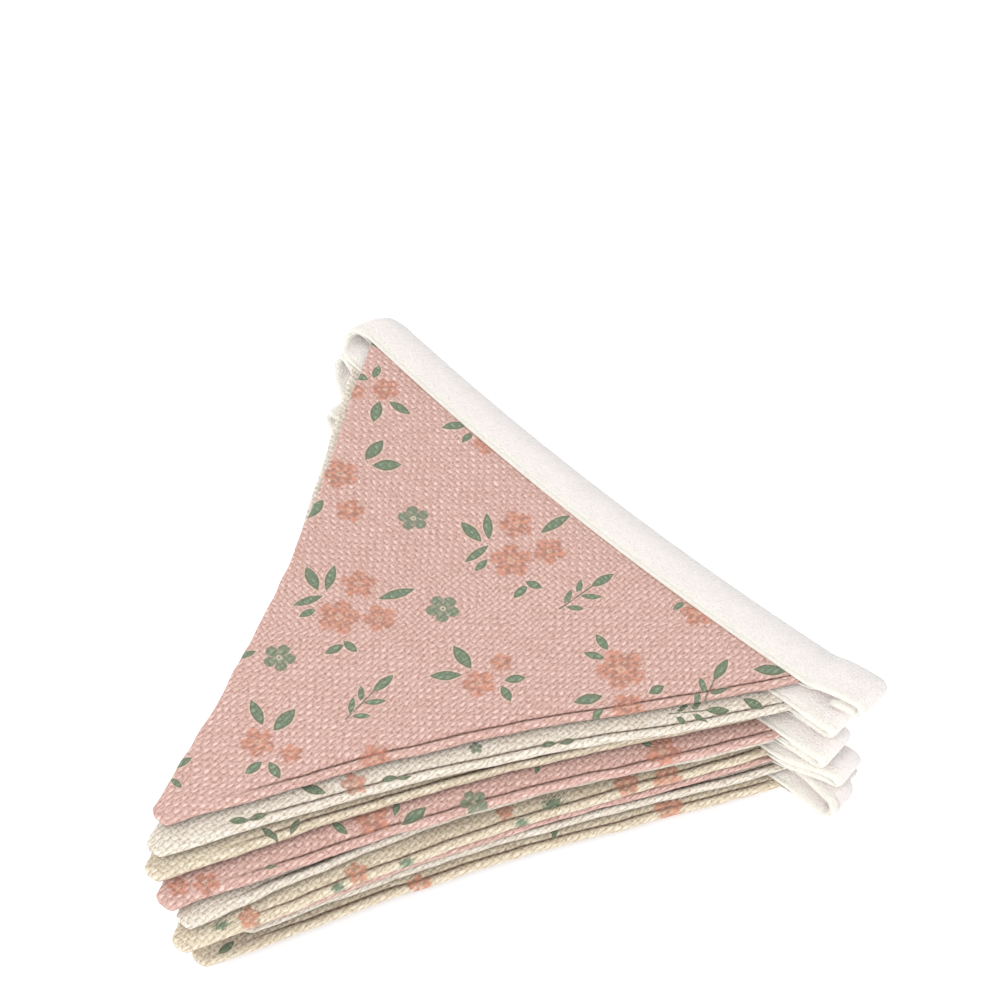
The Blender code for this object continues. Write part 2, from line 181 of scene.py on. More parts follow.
# The print's figures. A flower's long is its width across; a leaf has a length and a width
Figure = namedtuple("Figure", "kind x y turn long wide")
GROUPS = {
    "posy": (
        ("flower", -7.5, 5.5, 10.0, 11.0, 11.0), ("flower", 1.0, -5.0, -8.0, 13.5, 13.5),
        ("flower", 6.5, 5.5, 30.0, 10.5, 10.5), ("leaf", -15.0, -6.0, -4.0, 9.6, 3.6),
        ("leaf", -13.0, -1.0, -40.0, 10.0, 2.9), ("leaf", -8.0, -10.5, 88.0, 9.6, 2.7),
        ("leaf", -4.0, -12.5, 96.0, 5.8, 2.4), ("leaf", 0.5, 14.0, 84.0, 11.5, 3.2),
        ("leaf", 11.0, -11.0, 96.0, 6.4, 2.7), ("leaf", 12.0, -6.5, 20.0, 5.6, 2.7)),
    "spray": (
        ("flower", 0.0, 0.0, 20.0, 10.5, 10.5), ("flower", -1.0, 10.0, 0.0, 7.0, 7.0),
        ("leaf", -10.0, 3.0, -12.0, 9.6, 4.0), ("leaf", -8.5, -5.0, 50.0, 9.4, 3.3),
        ("leaf", 6.0, 8.5, 56.0, 6.4, 3.0), ("leaf", 8.0, 3.0, -20.0, 6.2, 2.9)),
    "duo": (
        ("flower", 0.0, 0.0, 12.0, 12.0, 12.0), ("flower", 12.5, -7.5, -20.0, 9.5, 9.5),
        ("leaf", 0.0, 14.0, 102.0, 9.4, 4.2), ("leaf", 7.0, 12.8, 48.0, 9.0, 4.2),
        ("leaf", 5.0, -15.0, 100.0, 9.0, 4.0)),
    "sprig": (
        ("stem", 0.0, 0.0, 86.0, 13.0, 0.5), ("leaf", 1.0, 10.0, 80.0, 8.4, 2.9),
        ("leaf", -2.0, 3.4, 126.0, 5.8, 1.9), ("leaf", 2.8, 3.4, 42.0, 6.8, 2.0),
        ("leaf", -1.8, -1.5, 116.0, 6.0, 1.9), ("leaf", 2.5, -2.8, 38.0, 5.4, 1.9)),
    "single": (("green flower", 0.0, 0.0, 0.0, 9.8, 9.8),),
    "bud": (("flower", 0.0, 0.0, 0.0, 8.0, 8.0),),
    "bloom": (
        ("flower", 0.0, 0.0, 16.0, 15.5, 15.5), ("leaf", -10.5, 3.0, -14.0, 6.8, 2.7),
        ("leaf", -8.8, -2.0, 28.0, 6.4, 2.6), ("leaf", 12.0, 2.2, 76.0, 5.2, 3.0)),
    "leaf": (("leaf", 0.0, 0.0, 0.0, 8.0, 3.2),),
    "tuft": (("smudge", 0.0, 0.0, 0.0, 7.5, 4.6),),
}

# Where the groups fall on the top flag, in its own plane, unturned and full size unless a row
# says more
Place = namedtuple("Place", "group x y turn scale", defaults=(0.0, 1.0))
TOP_PRINT = [Place(*row) for row in (
    ("posy", 1.0, -24.0), ("posy", -16.5, -75.5, -17.0), ("spray", 27.5, -67.0),
    ("spray", 0.0, -126.5, -70.0), ("spray", -72.5, -10.5, 137.0, 0.9), ("duo", -57.0, -43.5),
    ("single", -29.5, -39.0), ("single", 1.0, -56.0, 25.0, 1.05), ("single", -17.5, -103.0, 40.0),
    ("leaf", -24.5, -109.0, 70.0, 0.7), ("sprig", 25.0, -25.0), ("sprig", 10.0, -97.0, 12.0),
    ("sprig", 75.5, -23.5, 25.0, 1.05), ("bloom", 52.0, -34.0), ("bud", 62.5, -42.0, 30.0, 1.25),
    ("leaf", 53.0, -48.5, 62.0, 1.1), ("leaf", 58.0, -49.5, 93.0, 0.65),
    ("leaf", -47.0, -5.0, 61.0, 1.05), ("leaf", -41.0, -5.5, 101.0, 0.72),
    ("bud", -35.0, -2.5, 10.0, 1.3), ("leaf", 48.0, -5.5, 90.0, 0.62), ("bud", 53.5, -3.5, 0.0, 1.3),
    ("leaf", 82.0, -3.2, 46.0, 1.25), ("leaf", -88.0, 0.5, 20.0, 0.7), ("leaf", -5.0, -152.0, 0.0, 0.6),
    ("leaf", -9.0, -146.5, 80.0, 0.8), ("bud", 26.0, -106.0, 20.0, 1.2),
)]
# Where they fall in the repeated print that the other flags are cut from
REPEAT_X = 118.0
REPEAT_Y = 96.0
CLOTH_PRINT = [Place(*row) for row in (
    ("posy", 20.0, 22.0, 10.0), ("single", 46.0, 12.0), ("spray", 68.0, 26.0, 60.0),
    ("sprig", 96.0, 18.0, -20.0), ("leaf", 112.0, 34.0, 30.0, 0.9), ("bloom", 44.0, 48.0, -30.0, 0.95),
    ("single", 86.0, 50.0, 30.0), ("duo", 106.0, 62.0, 15.0), ("sprig", 14.0, 60.0, 25.0),
    ("spray", 62.0, 74.0, -50.0), ("single", 36.0, 82.0, 15.0), ("leaf", 82.0, 88.0, 110.0, 0.9),
    ("leaf", 4.0, 88.0, 70.0, 0.8),
)]
# The groups on the strips that show beside the hems of the flags below, by a flag's number and in
# its own plane
EDGE_PRINT = {
    2: (("leaf", 16.5, -117.0, 29.0, 0.95), ("bud", 23.0, -107.5, 10.0),
        ("leaf", 28.5, -99.0, 62.0, 0.65), ("leaf", 31.0, -96.0, 55.0, 0.55),
        ("single", 38.0, -74.5, 0.0, 0.42), ("leaf", 51.5, -59.0, 60.0, 0.7),
        ("leaf", 54.5, -54.5, 64.0, 0.7), ("sprig", 71.5, -22.5, -35.0, 0.85),
        ("leaf", 83.0, -7.0, 15.0, 0.9), ("leaf", 10.0, -138.5, 50.0, 0.75),
        ("leaf", 12.5, -134.0, 72.0, 0.75)),
    3: (("leaf", 14.0, -132.5, 5.0, 0.75), ("leaf", 17.0, -126.0, 110.0, 0.7)),
    4: (("bud", 0.0, -153.0, 0.0, 0.85), ("bud", 4.5, -147.0, 30.0), ("leaf", 13.5, -131.0, 55.0, 0.5),
        ("leaf", 18.5, -109.0, 0.0, 0.8), ("bud", 22.5, -100.5, 10.0, 1.4),
        ("leaf", 25.5, -93.5, 125.0, 0.65), ("leaf", 31.0, -92.0, 85.0, 1.15),
        ("single", 40.0, -77.0, 20.0, 0.85), ("leaf", 45.5, -56.5, 120.0, 0.5),
        ("leaf", 62.5, -28.5, 10.0, 0.7), ("bud", 67.5, -27.5, 40.0, 1.4)),
    6: (("tuft", 3.0, -139.5, 10.0, 0.7), ("tuft", 5.0, -144.0, 60.0, 0.9),
        ("bud", 9.0, -137.0, 0.0, 0.9), ("bud", 22.0, -107.0, 0.0, 0.9),
        ("tuft", 21.0, -114.0, 60.0, 0.8), ("tuft", 30.5, -95.5, 60.0, 0.8),
        ("bud", 41.0, -65.0, 0.0, 0.7), ("tuft", 49.5, -54.0, 60.0, 1.2),
        ("tuft", 47.0, -64.5, 60.0, 0.8), ("bud", 61.5, -35.0), ("bud", 69.5, -26.0, 30.0, 1.2)),
    9: (("leaf", 3.5, -145.0, 85.0, 0.75), ("bud", 31.0, -94.5), ("leaf", 48.5, -56.0, 120.0, 0.55),
        ("bud", 68.5, -28.0, 0.0, 1.2)),
}
EDGE_CLEAR = 17.0
# Where each flag below the top one is cut from the repeat: the shift and the turn, in degrees
Cut = namedtuple("Cut", "x y turn")
CUTS = (Cut(12.0, 30.0, 180.0), Cut(70.0, 8.0, 0.0), Cut(38.0, 64.0, 180.0),
        Cut(95.0, 40.0, 0.0), Cut(22.0, 80.0, 180.0), Cut(60.0, 20.0, 0.0),
        Cut(5.0, 55.0, 180.0), Cut(84.0, 70.0, 0.0), Cut(48.0, 36.0, 180.0))

KINDS = {"flower": 1.0, "green flower": 2.0, "leaf": 3.0, "stem": 4.0, "smudge": 5.0}
# Added to a kind on the back of the cloth, where the print shows faintly
BACK_OF_PRINT = 10.0
# How far from a figure, counted in its half sizes, a face still takes its mark, how much wider
# it is looked for in millimetres, and how a stem yields to leaves and ends
FIGURE_REACH = 1.6
FIGURE_MARGIN = 3.0
STEM_YIELDS = 0.7
STEM_REACH = 1.4
STEM_ENDS = 9.0

# The tape's cross-section from its folded edge to its open one: distance in from that edge or
# out from the other, and share of half its thickness
TAPE_FOLD = ((0.0, 0.0), (0.10, 0.38), (0.42, 0.72), (0.95, 0.93), (1.7, 1.0))
TAPE_CROWN = ((0.70, 1.03), (0.50, 1.04), (0.34, 1.02), (0.22, 0.98))
TAPE_LIP = ((2.3, 0.94), (1.7, 0.80), (1.35, 0.72), (1.0, 0.80), (0.55, 0.86), (0.15, 0.72),
            (0.0, 0.50))
# The same open edge where the tape is free and its lips are sewn to each other
TAPE_SHUT_LIP = ((2.3, 1.0), (1.7, 0.97), (1.35, 0.93), (1.0, 0.86), (0.55, 0.68), (0.15, 0.40),
                 (0.0, 0.20))
TAPE_STITCH_INSET = 1.35
TAPE_STITCH_SHARE = 0.74
TAPE_STITCH_LIFT = 0.10
TAPE_STEP = 3.0
TURN_STEPS = 7
ARC_STEPS = 14
# The slot for the flags: its height over them and where the tape is free, how much its mouth
# nips in, how near its lips come, where mouth and throat are, its depth and how it ends
SLOT_OPEN = 1.3
SLOT_SHUT = 0.3
MOUTH_NIPS = 0.10
LIPS_APART = 0.05
MOUTH_INSET = 0.02
THROAT_INSET = 0.4
SLOT_DEEP = 12.0
SLOT_CLEAR = 2.5
SLOT_POINT = 0.3

# The weave, in threads: half length and half width of a yarn, of its painted glint and of the
# painted shadow beside it, each for the yarns along x and those along y; how far that shadow lies
# off the yarn's middle; and an offset that keeps the count positive
YARN_OVAL = (1.05, 0.66)
GLINT_OVALS = ((0.52, 0.30), (0.60, 0.28))
SHADOW_OVALS = ((0.80, 0.17), (0.90, 0.17))
SHADOW_OFF = 0.42
THREADS_AWAY = 400.0
# Where the painted shade in the hem seam's groove fades in, up from the tip
SEAM_LINE_FADES = (-150.0, -124.0)

# Colours of the painted shade in the hem seam's groove and under each rim, and of a leaf's rim, and
# for a colour's red, green and blue the power that lightens a painted glint and the gains of the
# painted shade in gaps and beside floats (also darkening fibre streaks), of dull patches and of the
# parts of the tape, whose fold side is painted greyer as shade
SEAM_SHADE = (0.12, 0.068, 0.048)
LEAF_RIM = (0.150, 0.145, 0.095)
GLINT_POWERS = (0.42, 0.58, 0.62)
SHADE_GAINS = (0.56, 0.46, 0.42)
DULL_GAINS = (0.93, 0.87, 0.82)
FOLD_SHADE_GAINS = (0.86, 0.91, 0.94)
LIP_GAINS = (0.96, 1.01, 0.94)
HOLLOW_GAINS = (0.82, 0.80, 0.79)
HEM_THREAD_GAIN = 0.55
TAPE_THREAD = (0.86, 0.81, 0.70)
TAPE_RELIEF = 0.55
THREAD_RELIEF = 0.08

# The view: where the camera looks, from where and through what lens
AIM = (-24.45, 64.7, 39.0)
CAMERA_AWAY = 841.0
CAMERA_ROUND = math.radians(45.58)
CAMERA_UP = math.radians(52.07)
LENS = 100.8
SENSOR = 36.0
NEAREST_SEEN = 50.0
# The light, in metres and watts: each lamp's name, place, width and power, and what they face
Lamp = namedtuple("Lamp", "name place wide power")
LAMPS = (Lamp("key_light", (-0.05, -0.75, 0.95), 0.8, 5.0),
         Lamp("fill_light", (0.85, -0.45, 0.65), 1.2, 1.5))
LAMPS_FACE = (0.0, 0.0, 0.02)
SKY_STRENGTH = 0.95
FLOOR_GLOW = 0.45


def length_property(name, description, default, least):
    """A length, given in millimetres."""
    return bpy.props.FloatProperty(name=name, description=description, default=default * MM,
                                   min=least * MM, unit="LENGTH", precision=5)


class BuntingSizes(bpy.types.PropertyGroup):
    """Sizes that can be changed without touching the folded shape."""
    thread_pitch: length_property("Thread pitch", "From one thread of the weave to the next", 1.62, 0.4)
    weave_relief: length_property("Weave relief", "How far the threads stand out", 0.32, 0.0)
    stitch_pitch: length_property("Stitch pitch", "From one stitch to the next", 2.7, 1.0)
    stitch_long: length_property("Stitch length", "Thread that shows in each stitch", 2.1, 0.5)
    thread_thick: length_property("Thread thickness", "Thickness of the sewing thread", 0.32, 0.1)
    rib_pitch: length_property("Tape rib pitch", "From one rib of the tape to the next", 1.5, 0.5)
    floor_wide: length_property("Floor width", "Width of the floor under the pile", 4000.0, 1000.0)


def colour_property(name, description, default):
    return bpy.props.FloatVectorProperty(name=name, description=description, default=default,
                                         subtype="COLOR", size=3, min=0.0, max=1.0)


class BuntingColours(bpy.types.PropertyGroup):
    """Colours of the cloths, the print, the tape and the thread."""
    pink: colour_property("Pink cloth", "Colour of the pink flags", (0.660, 0.430, 0.380))
    white: colour_property("White cloth", "Colour of the white flags", (0.78, 0.73, 0.63))
    cream: colour_property("Cream cloth", "Colour of the cream flags", (0.72, 0.64, 0.49))
    petals: colour_property("Petals", "Colour of the printed salmon flowers", (0.455, 0.20, 0.135))
    leaves: colour_property("Leaves", "Colour of the printed leaves", (0.196, 0.267, 0.177))
    centres: colour_property("Flower centres", "Colour of the flowers' centres", (0.66, 0.55, 0.42))
    tape: colour_property("Tape", "Colour of the tape", (0.925, 0.862, 0.832))
    floor: colour_property("Floor", "Colour of the plain floor", (0.96, 0.96, 0.96))


def smooth(value):
    """A soft step from 0 to 1."""
    value = np.clip(value, 0.0, 1.0)
    return value * value * (3.0 - 2.0 * value)


def blend(first, second, share):
    return first + (second - first) * share


def turned(x, y, degrees, from_x=0.0, from_y=0.0):
    """A place turned round the origin and then moved."""
    angle = math.radians(degrees)
    return (from_x + x * math.cos(angle) - y * math.sin(angle),
            from_y + x * math.sin(angle) + y * math.cos(angle))


def number_of(flag):
    return FLAGS.index(flag) + 1


def level_of(flag):
    """How many layers lie under a flag."""
    return len(FLAGS) - number_of(flag)


def layer_floor(level, x, y):
    """Height of a layer's underside at a place in the pile."""
    out = -y - RISE_STARTS
    share = np.maximum(out / (TIPS_AT - RISE_STARTS), 0.0)
    pitch = blend(PITCH_AT_TAPE, PITCH_AT_TIPS, share)
    wave = np.sin(math.tau * x / WAVE_LONG_X) * np.cos(math.tau * y / WAVE_LONG_Y)
    return level * (pitch + WAVE_HIGH * wave * smooth(out / WAVE_FADE) / len(FLAGS))


def in_pile(flag, x, y):
    """A place in a flag's own plane, as a place in the pile."""
    return turned(x, y, flag.turn, flag.shift_x, flag.shift_y)


def tape_edge(flag, x):
    """The sagging line where the cloth leaves the tape."""
    return flag.rise_left * (0.5 - x / flag.width) - flag.sag * (1.0 - (2.0 * x / flag.width) ** 2)


def tape_slope(flag, x):
    """The angle of that line in the flag's own plane."""
    return np.arctan(8.0 * flag.sag * x / flag.width ** 2 - flag.rise_left / flag.width)


def lean_of(flag):
    """The slanting edges' angle from the middle line."""
    return math.atan2(flag.width / 2, flag.drop)


def tip_centre(flag):
    """Distance from the tape edge to the centre of the tip's rounding."""
    return flag.drop - flag.tip / math.sin(lean_of(flag))


def tip_end(flag):
    return tip_centre(flag) + flag.tip


def half_width(flag, down, side):
    """Distance from the flag's middle line to its slanting edge, with the rounded tip."""
    share = np.minimum(down / flag.drop, 1.0)
    draw = flag.draw_left if side < 0 else flag.draw_right
    drawn = draw / math.cos(lean_of(flag)) * np.sin(math.pi * share) ** EDGE_BOW
    straight = flag.width / 2 * (1.0 - share) - drawn
    past_centre = down - tip_centre(flag)
    rounded = np.sqrt(np.maximum(flag.tip ** 2 - past_centre ** 2, 0.0))
    tangent = flag.tip * math.sin(lean_of(flag))
    return np.where(past_centre < tangent, straight, np.minimum(straight, rounded))


def droop_share(width):
    """Share of the outer edge's droop at a distance across the tape: straight, then curling."""
    share = np.maximum(width, 0.0) / TAPE_WIDTH
    return np.maximum(share / 2.0, share ** 2)


def droop_at(flag, x):
    """Droop of the tape's outer edge at a place along a flag."""
    return blend(flag.droop_left, flag.droop_right, np.clip(x / flag.width + 0.5, 0.0, 1.0))


def to_world(x, y, z):
    """Places in the pile, in millimetres, as metres in the frame."""
    return np.stack([(x - CENTRE_X) * MM, (y - CENTRE_Y) * MM, z * MM], axis=-1)


def crease_lift(flag, x, y, down):
    """How far the flag's creases lift or lower its cloth."""
    total = np.zeros(np.broadcast(x, y).shape)
    for crease in (row for row in CREASES if row.flag == number_of(flag)):
        run = np.array([crease.to_x - crease.from_x, crease.to_y - crease.from_y])
        long = np.hypot(*run)
        along = ((x - crease.from_x) * run[0] + (y - crease.from_y) * run[1]) / long ** 2
        off = ((x - crease.from_x) * run[1] - (y - crease.from_y) * run[0]) / long
        ends = smooth(along * 4.0) * smooth((1.0 - along) * 4.0)
        total += crease.high * ends * np.exp(-(off / crease.wide) ** 2)
    return total * smooth(down / CREASES_START)


def hem_wave(flag, down, side, column):
    """Small uneven waves along a hem; column 1 is the swell of the rim and 2 the outline."""
    total = np.zeros_like(down)
    for index, wave in enumerate(HEM_WAVES):
        phase = number_of(flag) * 2.4 + side * 1.3 + index * 1.9
        total += wave[column] * np.sin(math.tau * down / wave[0] + phase + np.sin(down / 9.0 + phase))
    return total


def hem_edge(flag, down, side):
    """Distance from the flag's middle line to its slanting edge, with the waves of its hem."""
    return half_width(flag, down, side) + hem_wave(flag, down, side, 2) * smooth(down / HEM_WAVES_START)


def down_cloth(flag, x, down):
    """A row's place in the flag's plane: it follows the tape edge's sag less and less."""
    return tape_edge(flag, x) * (1.0 - np.minimum(down / flag.drop, 1.0)) ** 2 - down


def sewn_share(flag, down):
    """1 where the right hem is stitched, fading to 0 before the tip."""
    return smooth((tip_end(flag) - down - SEAM_STOPS) / SEAM_FADES)


def from_heading(heading, height, down):
    """A height on the cloth, which starts from the thin heading's as it leaves the tape."""
    return blend(heading, height, smooth((down + GAP) / TUCK_LONG))


def add_object(name, data):
    thing = bpy.data.objects.new(name, data)
    bpy.context.scene.collection.objects.link(thing)
    return thing


def mesh_object(name, points, faces, edges=()):
    """A piece from points in metres and quads or longer faces."""
    mesh = bpy.data.meshes.new(name)
    mesh.from_pydata(points, edges, faces)
    mesh.update()
    mesh.shade_smooth()
    return add_object(name, mesh)


def ring_faces(rows, columns):
    """Quads between rings of points, and one face to close each end."""
    place = np.arange(rows * columns).reshape(rows, columns)
    after = np.roll(place, -1, axis=1)
    quads = np.stack([place[:-1], place[1:], after[1:], after[:-1]], axis=-1).reshape(-1, 4)
    ends = [place[0].tolist(), place[-1][::-1].tolist()]
    return quads, ends


def vector_attribute(mesh, name, domain, values):
    store = mesh.attributes.new(name, "FLOAT_VECTOR", domain)
    store.data.foreach_set("vector", np.ascontiguousarray(values, dtype=np.float32).ravel())


def flag_rows(flag):
    """Distances from the tape edge to each row of a flag's points, closer round the tip."""
    tangent = tip_centre(flag) + flag.tip * math.sin(lean_of(flag))
    angles = np.linspace(lean_of(flag), math.pi / 2, TIP_ROWS + 1)[1:]
    straight = np.linspace(0.0, tangent, int(tangent / ROW_STEP) + 1)
    down = np.concatenate([straight, tip_centre(flag) + flag.tip * np.sin(angles)])
    down[-1] = tip_end(flag) - TIP_CLOSES
    return down[:, None]


def flag_outline(flag, down, left, right):
    """The cross-section of each row, from its left rim over the top and back below: x and height."""
    shrink = np.minimum(1.0, (left + right) / PROFILES_FIT / HEM_BELOW[-1][0])
    past_bevel = ((down - (tip_end(flag) - TIP_BEVEL)) / TIP_BEVEL).clip(0.0)
    rounded = np.sqrt(np.clip(1.0 - past_bevel ** 2, 0.0, 1.0))

    def hem(profile, edge, side):
        inset = np.array([row[0] for row in profile])[None, :] * shrink
        height = np.array([row[1] for row in profile])[None, :] + 0.0 * inset
        swell = hem_wave(flag, down, side, 1) * np.exp(-((inset - SWELL_INSET) / SWELL_WIDE) ** 2)
        return side * (edge - inset), height + swell * (height > RIM_HEIGHT)

    def across(first, last, count, height):
        share = (np.arange(count) + 1.0) / (count + 1.0)
        x = blend(first[0][:, -1:], last[0][:, -1:], share[None, :])
        return x, np.full_like(x, height)

    def back(part):
        return part[0][:, ::-1], part[1][:, ::-1]

    left_top = hem(ROLL_TOP, left, -1)
    right_top = hem(HEM_TOP, right, 1)
    right_top = (right_top[0], blend(hem(ROLL_TOP, right, 1)[1], right_top[1], sewn_share(flag, down)))
    left_below = hem(HEM_BELOW, left, -1)
    right_below = hem(HEM_BELOW, right, 1)
    top = across(left_top, right_top, TOP_COLUMNS, HEM_TOP[-1][1])
    below = across(right_below, left_below, UNDER_COLUMNS, HEM_BELOW[-1][1])
    rim = np.full_like(down, RIM_HEIGHT)
    parts = [(-left, rim), left_top, top, back(right_top), (right, rim), right_below, below,
             back(left_below)]
    x, height = [np.concatenate(columns, axis=1) for columns in zip(*parts)]
    return x, RIM_HEIGHT + (height - RIM_HEIGHT) * rounded


def weave_places(x, y, height, right, upper):
    """Each point's place on the weave, whose length is measured round the rims, and its inset."""
    step = np.hypot(np.diff(x, axis=1), np.diff(height, axis=1))
    middle = upper // 2
    run = np.concatenate([np.zeros_like(right), np.cumsum(step, axis=1)], axis=1)
    cloth_x = run - run[:, middle:middle + 1] + x[:, middle:middle + 1]
    below = slice(upper + len(HEM_BELOW), upper + len(HEM_BELOW) + UNDER_COLUMNS)
    cloth_x[:, below] = x[:, below]
    left_run = np.cumsum(step[:, ::-1], axis=1)[:, :len(HEM_BELOW)][:, ::-1]
    rim_step = np.hypot(x[:, -1:] - x[:, :1], height[:, -1:] - height[:, :1])
    cloth_x[:, -len(HEM_BELOW):] = cloth_x[:, :1] - rim_step - (left_run - left_run[:, -1:])
    inset = right - x
    inset[:, upper + 1:] = -1.0
    return np.stack([cloth_x, y, inset], axis=-1)


def heading_rings(flag, row_x, heading):
    """The heading's rings inside the tape, following its droop."""
    slope = tape_slope(flag, row_x)
    rings = []
    for into in HEADING_RINGS:
        x, y = in_pile(flag, row_x - into * np.sin(slope), tape_edge(flag, row_x) + into * np.cos(slope))
        droop = droop_at(flag, row_x) * droop_share(into)
        rings.append(to_world(x, y, layer_floor(level_of(flag), x, y) + heading - droop))
    return rings


def flag_rings(flag):
    """A flag's points in rings, in the frame, on the weave and in its plane, and how many are on top."""
    down = flag_rows(flag)
    left = np.maximum(hem_edge(flag, down, -1), LEAST_HALF)
    right = np.maximum(hem_edge(flag, down, 1), LEAST_HALF)
    x, height = flag_outline(flag, down, left, right)
    upper = x.shape[1] - len(HEM_BELOW) * 2 - UNDER_COLUMNS
    face = np.zeros_like(x)
    face[:, 1:upper - 1] = 1.0
    face[:, upper:] = -1.0
    heading = HEADING_MIDDLE + HEADING_HALF * face
    height = from_heading(heading, height, down)
    y = down_cloth(flag, x, down)
    pile_x, pile_y = in_pile(flag, x, y)
    z = layer_floor(level_of(flag), pile_x, pile_y) + height + crease_lift(flag, x, y, down)
    body = np.concatenate([heading_rings(flag, x[0], heading[0]), to_world(pile_x, pile_y, z)[1:]])
    weave_place = weave_places(x, y, height, right, upper)
    lead = np.repeat(weave_place[:1], len(HEADING_RINGS), axis=0)
    lead[:, :, 1] += np.array(HEADING_RINGS)[:, None]
    weave_place = np.concatenate([lead, weave_place[1:]])
    flat_x = np.concatenate([np.repeat(x[:1], len(HEADING_RINGS), axis=0), x[1:]])
    return body, weave_place, np.stack([flat_x, weave_place[:, :, 1]], axis=-1), upper


def cut_places(flag, cut):
    """The repeated print's groups on a flag that is cut from it, clear of the strip at its hem."""
    places = []
    for across in range(-2, 3):
        for up in range(-3, 3):
            for place in CLOTH_PRINT:
                x, y = turned(place.x + across * REPEAT_X - cut.x, place.y + up * REPEAT_Y - cut.y, cut.turn)
                y -= flag.drop / 2
                edge = float(half_width(flag, min(max(-y, 0.0), flag.drop - 1.0), 1))
                if (edge - x) * math.cos(lean_of(flag)) > EDGE_CLEAR:
                    places.append(Place(place.group, x, y, place.turn + cut.turn, place.scale))
    return places


def printed_figures(flag):
    """The figures of a flag's print in its own plane, each with the number of its kind."""
    number = number_of(flag)
    places = TOP_PRINT
    if number > 1:
        places = [Place(*row) for row in EDGE_PRINT.get(number, ())] + cut_places(flag, CUTS[number - 2])
    figures = []
    for place in places:
        for part in [Figure(*row) for row in GROUPS[place.group]]:
            x, y = turned(part.x * place.scale, part.y * place.scale, place.turn, place.x, place.y)
            figures.append(Figure(KINDS[part.kind], x, y, part.turn + place.turn,
                                  part.long * place.scale, part.wide * place.scale))
    return figures


def on_figure(figure, places):
    """Places in a flag's plane, along and across a figure in shares of its half sizes."""
    along, across = turned(places[..., 0] - figure.x, places[..., 1] - figure.y, -figure.turn)
    return along / (figure.long / 2), across / (figure.wide / 2)


def print_marks(flag, corners, under):
    """For each face's corners, their place on the nearest figure and the figure's kind."""
    centres = corners.mean(axis=1)
    best = np.full(len(centres), FIGURE_REACH)
    marks = np.zeros((len(centres), 4, 3))
    for figure in printed_figures(flag):
        away = np.hypot(centres[:, 0] - figure.x, centres[:, 1] - figure.y)
        near = np.nonzero(away < figure.long / 2 + FIGURE_MARGIN)[0]
        along, across = [np.abs(share) for share in on_figure(figure, centres[near])]
        off = np.hypot(along, across) if figure.long == figure.wide else across * 0.7 + along ** 3
        if figure.kind == KINDS["stem"]:
            past_end = np.maximum(along - 1.0, 0.0) * STEM_ENDS
            off = np.hypot(across * figure.wide / 2.0 / STEM_REACH, past_end)
            off = STEM_YIELDS + off * (1.0 - STEM_YIELDS)
        won = off < best[near]
        near = near[won]
        best[near] = off[won]
        marks[near, :, 0], marks[near, :, 1] = on_figure(figure, corners[near])
        marks[near, :, 2] = figure.kind
    marks[..., 2] += BACK_OF_PRINT * (under[:, None] & (marks[..., 2] > 0.0))
    return marks


def make_flag(flag):
    """One flag's cloth with its hems, creases and print, in place of its solid."""
    body, weave_place, flat, upper = flag_rings(flag)
    rows, columns = body.shape[:2]
    quads, ends = ring_faces(rows, columns)
    piece = mesh_object(flag.name + "_cloth", body.reshape(-1, 3), quads.tolist() + ends)
    vector_attribute(piece.data, "cloth_place", "POINT", weave_place)
    under = np.tile(np.arange(columns), rows - 1) >= upper
    marks = print_marks(flag, flat.reshape(-1, 2)[quads], under).reshape(-1, 3)
    unprinted = np.zeros((sum(len(end) for end in ends), 3))
    vector_attribute(piece.data, "print_place", "CORNER", np.concatenate([marks, unprinted]))
    return piece


def hem_path(flag):
    """The line of a flag's hem stitches, from its right corner towards the tip."""
    down = np.arange(STITCH_LINE_STEP, tip_end(flag) - SEAM_STOPS - SEAM_FADES / 2, STITCH_LINE_STEP)
    x = hem_edge(flag, down, 1) - GROOVE_INSET
    y = down_cloth(flag, x, down)
    height = blend(ROLL_TOP[-1][1], GROOVE_HEIGHT, sewn_share(flag, down))
    height = from_heading(HEADING_MIDDLE + HEADING_HALF, height, down)
    pile_x, pile_y = in_pile(flag, x, y)
    floor = layer_floor(level_of(flag), pile_x, pile_y)
    return to_world(pile_x, pile_y, floor + height + crease_lift(flag, x, y, down) + STITCH_LIFT)


Station = namedtuple("Station", "point across width thick slot droop")


def tape_place(flag, x):
    """The tape's inner edge at a place along a flag: its point, the way along and the way across."""
    slope = float(tape_slope(flag, x)) + math.radians(flag.turn)
    pile_x, pile_y = in_pile(flag, x, tape_edge(flag, x))
    height = float(layer_floor(level_of(flag), pile_x, pile_y)) + TAPE_THICK_OVER_FLAG / 2
    along = Vector((math.cos(slope), math.sin(slope), 0.0))
    across = Vector((-math.sin(slope), math.cos(slope), 0.0))
    return Vector((pile_x, pile_y, height)), along, across


def corner(flag, side):
    """The same at a flag's left or right corner, with the way out from the flag."""
    point, along, across = tape_place(flag, side * (flag.width / 2 + HEADING_OVERRUN))
    return point, along * side, across


def tape_on_flag(flag, way):
    """Stations along a flag's tape edge; way is 1 from left to right and -1 the other way."""
    reach = flag.width / 2 + HEADING_OVERRUN
    steps = round(2 * reach / TAPE_STEP)
    stations = []
    for step in range(steps + 1):
        x = way * blend(-reach, reach, step / steps)
        point, _, across = tape_place(flag, x)
        stations.append(Station(point, across, TAPE_WIDTH, TAPE_THICK_OVER_FLAG, SLOT_OPEN,
                                float(droop_at(flag, x))))
    return stations


